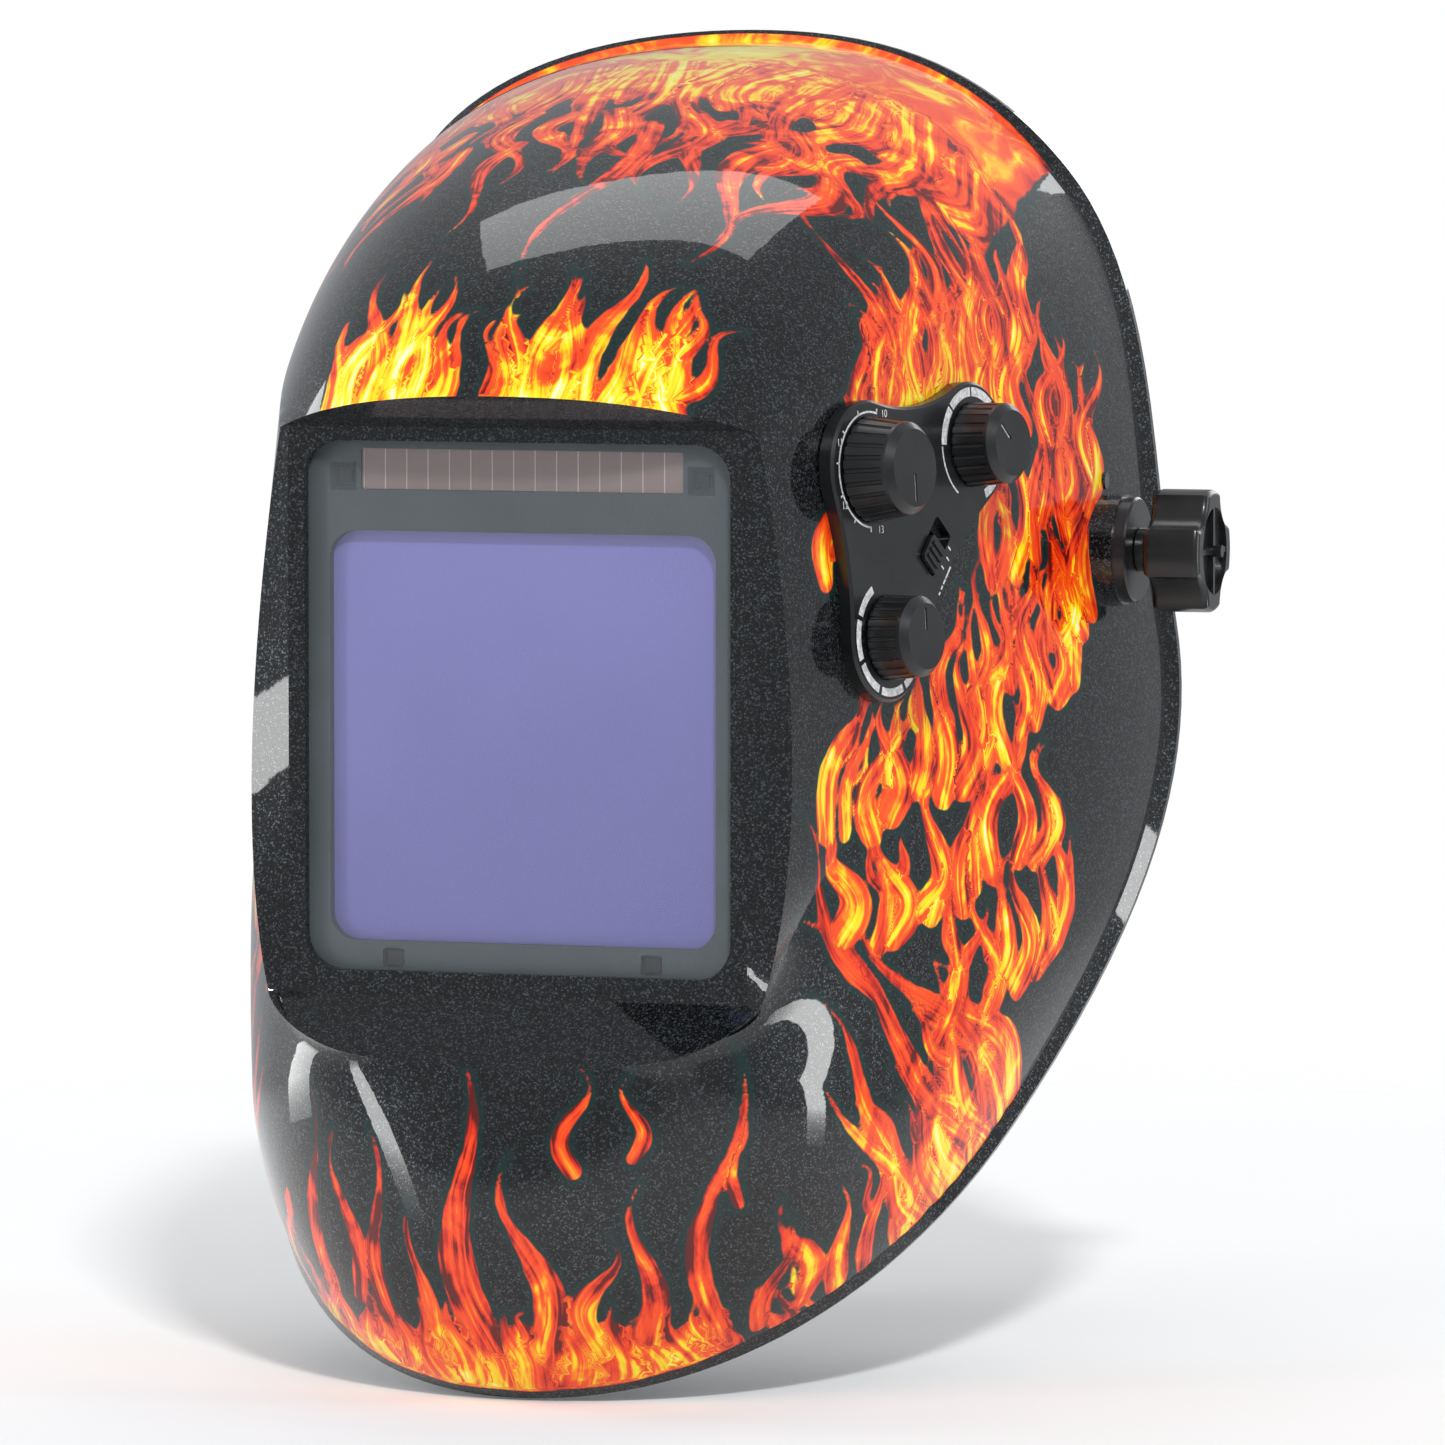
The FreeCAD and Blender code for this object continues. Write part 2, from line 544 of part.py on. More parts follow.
def battery_tray():
    x, y = TRAY_AT
    z = -PANEL_T - BOX_DEPTH - TRAY_T
    tray = box(x - TRAY_W / 2, x + TRAY_W / 2, y - TRAY_L / 2, y + TRAY_L / 2, z, z + TRAY_T - 0.2)
    handle = box(x - 8, x + 8, y - TRAY_L / 2 - 2.5, y - TRAY_L / 2, z, z + TRAY_T - 0.2)
    cell = rod(CELL_R + 0.1, V(x, y + 0.5, z + 0.8), V(x, y + 0.5, z + TRAY_T))
    return on_panel(tray.fuse(handle).cut(cell).removeSplitter())


CELL_R, CELL_T = 10.0, 3.2


def coin_cell():
    x, y = TRAY_AT
    z = -PANEL_T - BOX_DEPTH - TRAY_T + 0.8
    can = rod(CELL_R, V(x, y + 0.5, z), V(x, y + 0.5, z + CELL_T - 0.6))
    cap = rod(CELL_R - 1.2, V(x, y + 0.5, z + CELL_T - 0.6), V(x, y + 0.5, z + CELL_T))
    return on_panel(can.fuse(cap))


PANEL_SCREWS = ((2.0, 24.0), (-33.5, 31.5), (30.3, 20.3))
SCREW_R, SCREW_BITE = 1.1, 2.4


def panel_screw_shanks(radius):
    floor = -PANEL_T - BOX_DEPTH
    return [rod(radius, V(x, y, floor - 0.1), V(x, y, SCREW_BITE - PANEL_T)) for x, y in PANEL_SCREWS]


def panel_screws():
    """Screws from the box's floor into the back of the panel."""
    floor = -PANEL_T - BOX_DEPTH
    heads = [rod(2.3, V(x, y, floor - 1.4), V(x, y, floor)) for x, y in PANEL_SCREWS]
    return on_panel(group([h.fuse(s) for h, s in zip(heads, panel_screw_shanks(SCREW_R))]))


CABLE_X, CABLE_Z = 45.0, 24.0   # where the lead from the control box enters the cartridge


# ---------------------------------------------------------------- pivots
ARM_R, ARM_END = 13.0, 103.6        # boss on the headgear arm, and its outer end
ARM_FACE = BAND_R + BAND_T          # arm plate lies on the headband's outer face
ARM_PLATE_T = 2.5
BOLT_HEAD_R, BOLT_HEAD_AT, BOLT_HEAD_T = 7.0, 88.0, 3.0
BOLT_END = {1: 131.0, -1: 112.3}
KNOB_FROM = {side: PIVOT_PAD_X[side] + WASHER_T[side] + 0.3 for side in (1, -1)}
STOP_R, STOP_PIN_R, STOP_GAP, STOP_END, FLIP = 17.6, 2.2, 0.3, 99.5, 60.0


def stop_pin(side):
    return rod(STOP_PIN_R, V(side * 94.5, 0, STOP_R), V(side * 106.5, 0, STOP_R))


def pivot_arm(side):
    """Plate on the headband, boss to the shell, and the two stops the shell's pin meets."""
    plate = box(ARM_FACE, ARM_FACE + ARM_PLATE_T, -16, 26, -13, 13)
    plate = plate.makeFillet(4.0, [e for e in plate.Edges if abs(e.tangentAt(0).x) > 0.9])
    plate.rotate(V(0, 0, 0), V(1, 0, 0), BAND_TILT)
    boss = rod(ARM_R, V(ARM_FACE + 1, 0, 0), V(ARM_END, 0, 0))
    near = STOP_PIN_R + STOP_GAP
    down_stop = box(95.0, STOP_END, -near - 4, -near, 11, 19.4)
    up_stop = box(95.0, STOP_END, near, near + 4, 11, 19.4)
    up_stop.rotate(V(0, 0, 0), V(1, 0, 0), -FLIP)
    hollow = rod(BOLT_HEAD_R, V(ARM_FACE - 1, 0, 0), V(BOLT_HEAD_AT + BOLT_HEAD_T, 0, 0))
    bore = rod(BOLT_R, V(ARM_FACE, 0, 0), V(ARM_END + 1, 0, 0))
    fixings = [on_band(r) for r in rivets()]
    arm = fused(plate, boss, down_stop, up_stop).cut([hollow, bore] + fixings)
    return arm if side > 0 else mirror_x(arm)


def pivot_bolts():
    bolts = []
    for side in (1, -1):
        at = V(side, 0, 0)
        head = rod(BOLT_HEAD_R, at * BOLT_HEAD_AT, at * (BOLT_HEAD_AT + BOLT_HEAD_T))
        bolts.append(head.fuse(rod(BOLT_R, at * (BOLT_HEAD_AT + 1), at * BOLT_END[side])))
    return group(bolts)


def pivot_washers():
    washers = []
    for side in (1, -1):
        at = V(side, 0, 0)
        outer = PIVOT_PAD_X[side] + WASHER_T[side]
        disc = rod(WASHER_R[side], at * PIVOT_PAD_X[side], at * outer)
        rim = [e for e in disc.Edges if abs(e.BoundBox.XLength) < 0.01
               and abs(abs(e.BoundBox.Center.x) - outer) < 0.01]
        disc = disc.makeChamfer(WASHER_CHAMFER[side], rim)
        washers.append(disc.cut(rod(BOLT_HOLE_R, at * 100.0, at * 120.0)))
    return group(washers)


def tension_knob():
    """Four-lobed hand knob with a cross-ribbed end and a centre nub."""
    lobes, valley_r, valley_at = 4, 9.0, 21.2
    start = KNOB_FROM[1]
    grip_from = start + HUB_L
    end = grip_from + GRIP_L
    hub = rod(HUB_R, V(start, 0, 0), V(grip_from + 1, 0, 0))
    grip = rod(GRIP_R, V(grip_from, 0, 0), V(end, 0, 0))
    cuts = []
    for i in range(lobes):
        a = math.pi * (2 * i + 1) / lobes
        c = V(0, valley_at * math.cos(a), valley_at * math.sin(a))
        cuts.append(rod(valley_r, V(grip_from - 1, 0, 0) + c, V(end + 1, 0, 0) + c))
    grip = grip.cut(cuts)
    grip = grip.makeFillet(1.6, [e for e in grip.Edges if abs(e.BoundBox.XLength) < 0.01])
    dish = rod(GRIP_R - 4.6, V(end - 1.6, 0, 0), V(end + 1, 0, 0))
    ribs = [box(end - 2.0, end - 0.2, -11, 11, -0.7, 0.7), box(end - 2.0, end - 0.2, -0.7, 0.7, -11, 11)]
    nub = rod(1.6, V(end - 2.0, 0, 0), V(end + 2.0, 0, 0))
    bore = rod(BOLT_HOLE_R, V(start - 1, 0, 0), V(BOLT_END[1] + 0.6, 0, 0))
    return grip.cut(dish).fuse(ribs + [nub, hub]).cut(bore)


def tension_nut():
    """Flat fluted nut with a coin slot, on the side away from the dials."""
    start = KNOB_FROM[-1]
    end = start + NUT_L
    disc = rod(NUT_R, V(-start, 0, 0), V(-end, 0, 0))
    rim = [e for e in disc.Edges if abs(e.BoundBox.XLength) < 0.01 and abs(e.BoundBox.Center.x + end) < 0.01]
    disc = disc.makeChamfer(0.5, rim)
    cuts = [rod(BOLT_HOLE_R, V(-start + 1, 0, 0), V(-end - 1, 0, 0)),
            box(-end - 1, -end + 1.2, -NUT_R - 1, NUT_R + 1, -1.0, 1.0)]
    flute_r, flute_at = 1.3, NUT_R + 0.6
    for i in range(NUT_FLUTES):
        a = 2 * math.pi * (i + 0.5) / NUT_FLUTES
        c = V(0, flute_at * math.cos(a), flute_at * math.sin(a))
        cuts.append(rod(flute_r, V(-start + 1, 0, 0) + c, V(-end - 1, 0, 0) + c))
    return disc.cut(cuts)


# ---------------------------------------------------------------- headgear
def on_band(shape):
    """Tilt a shape from the headband's own level frame to its place, low at the back."""
    out = shape.copy()
    out.rotate(V(0, 0, 0), V(1, 0, 0), BAND_TILT)
    return out


def arc_band(centre_y, r0, r1, z0, z1, a0, a1):
    """Part of an upright ring; angles run from the left side (0) to the rear (90)."""
    ring = Part.makeCylinder(r1, z1 - z0, V(0, 0, z0), V(0, 0, 1), a1 - a0)
    ring = ring.cut(Part.makeCylinder(r0, z1 - z0 + 2, V(0, 0, z0 - 1)))
    ring.rotate(V(0, 0, 0), V(0, 0, 1), a0)
    ring.translate(V(0, centre_y, 0))
    return ring


ARM_ARC = 40.0             # how far the headband's arms follow the rear arc
SLIDER_R = {"left": BAND_R + 2.3, "right": BAND_R + 4.1}
SLIDER_T, SLIDER_H, SLIDER_FROM, SLIDER_TO = 1.5, 22.0, 10.0, 115.0
PINION_R = PINION_TEETH * RACK_PITCH / (2 * math.pi)
ADDENDUM, DEDENDUM, SLOT_HALF = 0.9, 1.2, 17.6
KEEPER_R = BAND_R + 6.1
REAR_Y = BAND_REAR


def headband():
    half = BAND_H / 2.0
    outer = BAND_R + BAND_T
    pieces = [arc_band(BAND_FRONT, BAND_R, outer, -half, half, 180, 360)]
    for side in (1, -1):
        x0, x1 = sorted((side * BAND_R, side * outer))
        pieces.append(box(x0, x1, BAND_FRONT - 0.5, REAR_Y + 0.5, -half, half))
        a0, a1 = (0, ARM_ARC) if side > 0 else (180 - ARM_ARC, 180)
        pieces.append(arc_band(REAR_Y, BAND_R, outer, -half, half, a0, a1))
        k0, k1 = (ARM_ARC - 8, ARM_ARC) if side > 0 else (180 - ARM_ARC, 188 - ARM_ARC)
        pieces.append(arc_band(REAR_Y, KEEPER_R, KEEPER_R + 1.5, -half, half, k0, k1))
        for z0, z1 in ((-half, -SLIDER_H / 2 - 0.4), (SLIDER_H / 2 + 0.4, half)):
            pieces.append(arc_band(REAR_Y, outer - 0.5, KEEPER_R + 0.5, z0, z1, k0, k1))
    return on_band(fused(*pieces).removeSplitter().cut(rivets()))


def slider(side):
    """Rear band with a slot; the pinion runs on the teeth along one edge of the slot."""
    r0 = SLIDER_R[side]
    middle = r0 + SLIDER_T / 2
    half = math.degrees(SLOT_HALF / middle)
    band = arc_band(REAR_Y, r0, r0 + SLIDER_T, -SLIDER_H / 2, SLIDER_H / 2, SLIDER_FROM, SLIDER_TO)
    clear = PINION_R + ADDENDUM + 0.7
    root = PINION_R + ADDENDUM + 0.35
    slot = arc_band(REAR_Y, r0 - 1, r0 + SLIDER_T + 1, -clear, root, 90 - half, 90 + half)
    teeth = []
    step = math.degrees(RACK_PITCH / middle)
    count = int(half / step)
    for i in range(-count, count + 1):
        tip, foot, base = RACK_PITCH * 0.12, RACK_PITCH * 0.33, root + 0.3
        low = PINION_R - DEDENDUM + 0.45
        profile = Part.makePolygon([V(-tip, r0, low), V(tip, r0, low), V(foot, r0, base),
                                    V(-foot, r0, base), V(-tip, r0, low)])
        tooth = Part.Face(profile).extrude(V(0, SLIDER_T, 0))
        tooth.rotate(V(0, 0, 0), V(0, 0, 1), i * step)
        tooth.translate(V(0, REAR_Y, 0))
        teeth.append(tooth)
    inside = arc_band(REAR_Y, r0, r0 + SLIDER_T, -SLIDER_H / 2, SLIDER_H / 2, 90 - half, 90 + half)
    made = band.cut(slot).fuse([t.common(inside) for t in teeth])
    if side == "right":
        made.rotate(V(0, 0, 0), V(0, 1, 0), 180)
    return on_band(made.removeSplitter())


def pinion(y0, y1):
    step = 2 * math.pi / PINION_TEETH
    root, tip = PINION_R - DEDENDUM, PINION_R + ADDENDUM
    points = []
    for i in range(PINION_TEETH):
        for r, share in ((root, -0.25), (tip, -0.11), (tip, 0.11), (root, 0.25)):
            a = step * (i + 0.5 + share) + math.pi / 2
            points.append(V(r * math.cos(a), y0, r * math.sin(a)))
    return Part.Face(Part.makePolygon(points + points[:1])).extrude(V(0, y1 - y0, 0))


HOUSING_R, COVER_R, SHAFT_HOLE = BAND_R - 1.5, BAND_R + 13.0, 3.05
DETENT_R, DETENTS, DETENT_DEPTH = 12.6, 24, 1.2


def rear(r):
    """Distance behind the pivot axis, in the headband's frame, of radius r of the rear arc."""
    return REAR_Y + r


def along_rear(radius, r0, r1, z=0.0, x=0.0):
    return rod(radius, V(x, rear(r0), z), V(x, rear(r1), z))


def ratchet_housing():
    plate = arc_band(REAR_Y, HOUSING_R, BAND_R + 2, -16, 16, 69, 111)
    tab = arc_band(REAR_Y, HOUSING_R + 1, BAND_R + 2, 15, 26, 83, 97)
    journal = along_rear(SHAFT_HOLE, BAND_R - 0.2, BAND_R + 3)
    cuts = [journal] + ratchet_screws() + rivets()
    return on_band(plate.fuse(tab).cut(cuts).removeSplitter())


def ratchet_cover():
    inner = BAND_R + 2
    body = arc_band(REAR_Y, inner, COVER_R, -15, 15, 70.5, 109.5)
    passage = arc_band(REAR_Y, inner - 1, KEEPER_R, -SLIDER_H / 2 - 0.4, SLIDER_H / 2 + 0.4, 60, 120)
    cuts = [passage, along_rear(SHAFT_HOLE, inner, COVER_R + 1),
            along_rear(DETENT_R, COVER_R - 4.5, COVER_R + 1),
            along_rear(PINION_R + 1.5, inner, KEEPER_R + 0.4)]
    for i in range(DETENTS):
        a = 2 * math.pi * i / DETENTS
        x, z = DETENT_R * math.cos(a), DETENT_R * math.sin(a)
        cuts.append(along_rear(DETENT_DEPTH, COVER_R - 4.5, COVER_R + 1, z, x))
    return on_band(body.cut(cuts + ratchet_screws()))


def detent_spring():
    """Two sprung fingers on a keyed ring; their tips sit in the cover's notches."""
    r0, r1 = COVER_R - 4.1, COVER_R - 1.6
    ring = along_rear(5.6, r0, r1).cut(along_rear(3.0, r0 - 1, r1 + 1))
    fingers = []
    for turn in (0, 180):
        finger = box(-0.6, 0.6, rear(r0), rear(r1), 5.0, DETENT_R + 0.2)
        finger = finger.fuse(along_rear(0.8, r0, r1, DETENT_R - 0.4))
        finger.rotate(V(0, 0, 0), V(0, 1, 0), turn)
        fingers.append(finger)
    return on_band(ring.fuse(fingers).removeSplitter())


def ratchet_knob():
    """Fluted knob, its shaft and the pinion between the two racks."""
    grip_from, grip_to, radius, flutes = COVER_R + 0.4, COVER_R + 13.4, 19.0, 14
    grip = cone(radius, radius - 1.2, V(0, rear(grip_from), 0), V(0, rear(grip_to), 0))
    grip = grip.makeFillet(1.6, [e for e in grip.Edges if e.BoundBox.YLength < 0.01
                                 and e.BoundBox.YMin > rear(grip_to) - 0.1])
    cuts = []
    for i in range(flutes):
        a = 2 * math.pi * i / flutes
        x, z = (radius + 1.4) * math.cos(a), (radius + 1.4) * math.sin(a)
        cuts.append(along_rear(2.6, grip_from - 1, grip_to + 1, z, x))
    shaft = along_rear(3.0, BAND_R + 0.1, grip_from + 1)
    wheel = pinion(rear(BAND_R + 2.3), rear(KEEPER_R - 0.2))
    return on_band(grip.cut(cuts).fuse([shaft, wheel]))


def ratchet_screws():
    """Four screws from inside the housing into the cover, past the bands' edges."""
    screws = []
    for x in (-26.0, 26.0):
        for z in (-13.2, 13.2):
            y = math.sqrt(HOUSING_R ** 2 - x * x)
            head = rod(2.0, V(x, REAR_Y + y + 0.8, z), V(x, REAR_Y + y + 1.8, z))
            screws.append(head.fuse(rod(1.1, V(x, REAR_Y + y + 1, z), V(x, REAR_Y + y + 10.0, z))))
    return screws


def soft_arc(r0, r1, half_h, a0, a1, centre_y, edge):
    pad = arc_band(centre_y, r0, r1, -half_h, half_h, a0, a1)
    rim = [e for e in pad.Edges if e.Length > 5.0 and not flat_to(e, r1, centre_y)]
    try:
        pad = pad.makeFillet(edge, rim)
    except Exception:
        print("pad left with square edges")
    return on_band(pad)


def flat_to(edge, radius, centre_y):
    """True for an edge that lies on the cylinder of this radius about the arc's centre."""
    for p in (edge.valueAt(edge.FirstParameter), edge.valueAt(edge.LastParameter)):
        if abs(math.hypot(p.x, p.y - centre_y) - radius) > 0.01:
            return False
    return True


def sweatband():
    pad = soft_arc(BAND_R - 6.0, BAND_R, 15.0, 205, 335, BAND_FRONT, 2.0)
    return pad.cut([on_band(r) for r in rivets()])


def nape_pad():
    return soft_arc(HOUSING_R - 8.0, HOUSING_R, 20.0, 66, 114, REAR_Y, 3.0)


def hoop(half_length, height, thick):
    """Elliptic arch outline standing in the plane x and z, as a face."""
    def arch(a, b):
        ellipse = Part.Ellipse(V(0, 0, 0), max(a, b), min(a, b))
        edge = ellipse.toShape()
        if b > a:
            edge.rotate(V(0, 0, 0), V(0, 0, 1), 90)
        edge.rotate(V(0, 0, 0), V(1, 0, 0), 90)
        return Part.Face(Part.Wire(edge))
    return arch(half_length, height).cut(arch(half_length - thick, height - thick))


STRAP_T, STRAP_W, STRAP_TOP, STRAP_Y = 2.0, 20.0, 106.0, 10.0
FOOT_GAP = (0.8, 3.0)      # room the curved top strap needs at its front and rear feet


def crown_strap(side):
    """Half of the strap over the head; the left half lies on top and carries the pins."""
    top = STRAP_TOP + (STRAP_T + 1.0 if side > 0 else 0.0)
    arch = hoop(BAND_R, top, STRAP_T).extrude(V(0, STRAP_W, 0))
    arch.translate(V(0, STRAP_Y - STRAP_W / 2, 0))
    keep = box(-34, 90, -50, 70, -9, 120) if side > 0 else box(-90, 34, -50, 70, -9, 120)
    strap = arch.common(keep)
    if side > 0:
        pins = [rod(2.0, V(x, STRAP_Y, STRAP_TOP - 3.5), V(x, STRAP_Y, top - 1)) for x in (-15.0, 5.0)]
        return on_band(strap.fuse(pins).cut(rivets()))
    holes = [rod(2.1, V(x, STRAP_Y, 60), V(x, STRAP_Y, 120)) for x in range(-35, 30, 10)]
    return on_band(strap.cut(holes + rivets()))


def top_strap():
    """Strap from the front of the headband over the crown straps to the ratchet's tab."""
    front, back = BAND_FRONT - BAND_R - BAND_T - FOOT_GAP[0], rear(BAND_R + 2) + FOOT_GAP[1]
    reach = (back - front) / 2.0 + STRAP_T
    arch = hoop(reach, STRAP_TOP + 2 * STRAP_T + 1.9, STRAP_T).extrude(V(0, 18.0, 0))
    arch.rotate(V(0, 0, 0), V(0, 0, 1), 90)
    arch.translate(V(9.0, (front + back) / 2.0, 0))
    keep = box(-20, 20, front - 5, 0, -8, 130).fuse(box(-20, 20, 0, back + 5, 15.4, 130))
    return on_band(arch.common(keep).cut(rivets()))


def rivets():
    """Rivets, in the headband's frame, that hold the straps, the pivot arms and the tab."""
    made = []
    for side in (1, -1):
        for y in (4.0, 16.0):
            inner = V(side * (BAND_R - STRAP_T), y, 0)
            made.append(rivet(inner, V(side, 0, 0), STRAP_T + BAND_T + ARM_PLATE_T))
    made.append(rivet(V(0, BAND_FRONT - BAND_R, 0), V(0, -1, 0), BAND_T + FOOT_GAP[0] + STRAP_T))
    made.append(rivet(V(0, rear(HOUSING_R + 1), 20), V(0, 1, 0), 2.5 + FOOT_GAP[1] / 2 + STRAP_T))
    return made


def strap_rivets():
    return on_band(group(rivets()))


def rivet(start, way, grip):
    """Rivet with a head at each end of its grip."""
    return fused(rod(1.8, start, start + way * grip), rod(3.4, start - way * 1.0, start),
                 rod(3.4, start + way * grip, start + way * (grip + 1.0)))


def all_parts():
    made = {
        "shell": shell(), "front_cover_lens": front_cover_lens(), "filter_housing": filter_housing(),
        "filter_glass": filter_glass(), "solar_panel": solar_panel(), "light_sensors": light_sensors(),
        "filter_back": filter_back(), "filter_board": filter_board(),
        "test_button": test_button(), "inner_cover_lens": inner_cover_lens(),
        "lens_holder": lens_holder(), "lens_latch": lens_latch(), "holder_screws": holder_screws(),
        "control_panel": control_panel(), "mode_switch": mode_switch(), "potentiometers": potentiometers(),
        "pot_nuts": pot_nuts(), "control_box": control_box(), "control_board": control_board(),
        "battery_tray": battery_tray(), "coin_cell": coin_cell(), "panel_screws": panel_screws(),
        "pivot_bolts": pivot_bolts(), "pivot_washers": pivot_washers(),
        "tension_knob_left": tension_knob(), "tension_knob_right": tension_nut(),
        "headband": headband(), "sweatband": sweatband(), "nape_pad": nape_pad(),
        "band_left": slider("left"), "band_right": slider("right"),
        "ratchet_housing": ratchet_housing(), "ratchet_cover": ratchet_cover(),
        "ratchet_screws": on_band(group(ratchet_screws())),
        "detent_spring": detent_spring(), "ratchet_knob": ratchet_knob(),
        "top_strap": top_strap(), "strap_rivets": strap_rivets(),
    }
    for dial, sizes in DIALS.items():
        made[dial + "_knob"] = knob(*sizes)
    for name, side in (("left", 1), ("right", -1)):
        made["pivot_arm_" + name] = pivot_arm(side)
        made["crown_strap_" + name] = crown_strap(side)
    return made


os.makedirs("parts", exist_ok=True)
for node, shape in sorted(all_parts().items()):
    box_ = shape.BoundBox
    print("%-20s valid %s solids %d vol %9.1f  x %.1f %.1f  y %.1f %.1f  z %.1f %.1f" % (
        node, shape.isValid(), len(shape.Solids), shape.Volume, box_.XMin, box_.XMax,
        box_.YMin, box_.YMax, box_.ZMin, box_.ZMax))
    shape.exportStep("parts/%s.step" % node)
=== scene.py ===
"""Looks of the welding helmet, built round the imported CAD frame. Metres; front towards -Y, +Z up."""
import math
import random

import bmesh
import bpy
import numpy as np
from mathutils import Matrix, Vector
from mathutils.bvhtree import BVHTree

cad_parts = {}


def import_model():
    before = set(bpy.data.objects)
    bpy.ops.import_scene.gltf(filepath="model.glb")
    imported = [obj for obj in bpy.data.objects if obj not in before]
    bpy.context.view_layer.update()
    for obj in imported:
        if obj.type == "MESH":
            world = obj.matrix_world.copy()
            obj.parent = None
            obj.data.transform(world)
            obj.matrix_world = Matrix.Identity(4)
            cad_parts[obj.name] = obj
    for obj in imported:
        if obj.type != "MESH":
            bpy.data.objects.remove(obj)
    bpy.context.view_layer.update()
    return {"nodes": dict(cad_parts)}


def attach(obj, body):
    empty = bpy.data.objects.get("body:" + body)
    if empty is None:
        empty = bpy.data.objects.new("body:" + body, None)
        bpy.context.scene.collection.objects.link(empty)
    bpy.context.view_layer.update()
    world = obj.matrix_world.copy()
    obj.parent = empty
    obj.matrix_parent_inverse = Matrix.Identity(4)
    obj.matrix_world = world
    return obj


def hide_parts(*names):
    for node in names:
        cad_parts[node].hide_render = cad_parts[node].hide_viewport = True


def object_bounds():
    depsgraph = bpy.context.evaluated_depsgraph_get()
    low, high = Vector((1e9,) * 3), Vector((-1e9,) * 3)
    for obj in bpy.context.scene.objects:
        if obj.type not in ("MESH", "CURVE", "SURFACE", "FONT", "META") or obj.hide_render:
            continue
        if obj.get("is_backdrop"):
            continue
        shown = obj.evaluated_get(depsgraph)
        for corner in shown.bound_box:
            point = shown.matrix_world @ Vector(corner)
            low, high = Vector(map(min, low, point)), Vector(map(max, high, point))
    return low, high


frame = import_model()
NODES = frame["nodes"]
MM = 0.001

# ------------------------------------------------------------------ camera and light
AZIMUTH, ELEVATION = math.radians(18.5), math.radians(4.0)
DISTANCE, FOCAL_LENGTH, SENSOR = 2.5, 253.495, 36.0      # metres, and millimetres of a camera
AIM, AIM_RIGHT, AIM_DOWN = (0, -0.152, -0.033), 0.0507, 0.0038


def camera():
    """A long lens from the wearer's right and a little above."""
    look = Vector((-math.sin(AZIMUTH) * math.cos(ELEVATION), math.cos(AZIMUTH) * math.cos(ELEVATION),
                   -math.sin(ELEVATION)))
    right = Vector((math.cos(AZIMUTH), math.sin(AZIMUTH), 0))
    up = right.cross(look)
    target = Vector(AIM) + right * AIM_RIGHT - up * AIM_DOWN
    data = bpy.data.cameras.new("camera")
    data.sensor_width, data.lens, data.clip_end = SENSOR, FOCAL_LENGTH, 50.0
    cam = bpy.data.objects.new("camera", data)
    bpy.context.scene.collection.objects.link(cam)
    cam.matrix_world = Matrix((right, up, -look)).transposed().to_4x4()
    cam.location = target - look * DISTANCE
    bpy.context.scene.camera = cam
    bpy.context.scene.view_settings.view_transform = "Standard"


def area(name, place, aim, size, power):
    """A white rectangular lamp at place, turned to face aim."""
    data = bpy.data.lights.new(name, "AREA")
    data.shape = "RECTANGLE"
    data.size, data.size_y = size
    data.energy = power
    lamp = bpy.data.objects.new(name, data)
    bpy.context.scene.collection.objects.link(lamp)
    lamp.location = place
    lamp.rotation_euler = (Vector(aim) - Vector(place)).to_track_quat("-Z", "Y").to_euler()


def world():
    """A dim cool glow on the object, seen as plain white by the camera."""
    w = bpy.data.worlds.new("studio")
    bpy.context.scene.world = w
    w.use_nodes = True
    t = w.node_tree
    t.nodes.clear()
    out = t.nodes.new("ShaderNodeOutputWorld")
    mix = t.nodes.new("ShaderNodeMixShader")
    path = t.nodes.new("ShaderNodeLightPath")
    glow, seen = t.nodes.new("ShaderNodeBackground"), t.nodes.new("ShaderNodeBackground")
    glow.inputs["Color"].default_value = (0.93, 0.96, 1.0, 1)
    glow.inputs["Strength"].default_value = 0.45
    seen.inputs["Color"].default_value = (1, 1, 1, 1)
    seen.inputs["Strength"].default_value = 1.0
    t.links.new(path.outputs["Is Camera Ray"], mix.inputs["Fac"])
    t.links.new(glow.outputs[0], mix.inputs[1])
    t.links.new(seen.outputs[0], mix.inputs[2])
    t.links.new(mix.outputs[0], out.inputs[0])


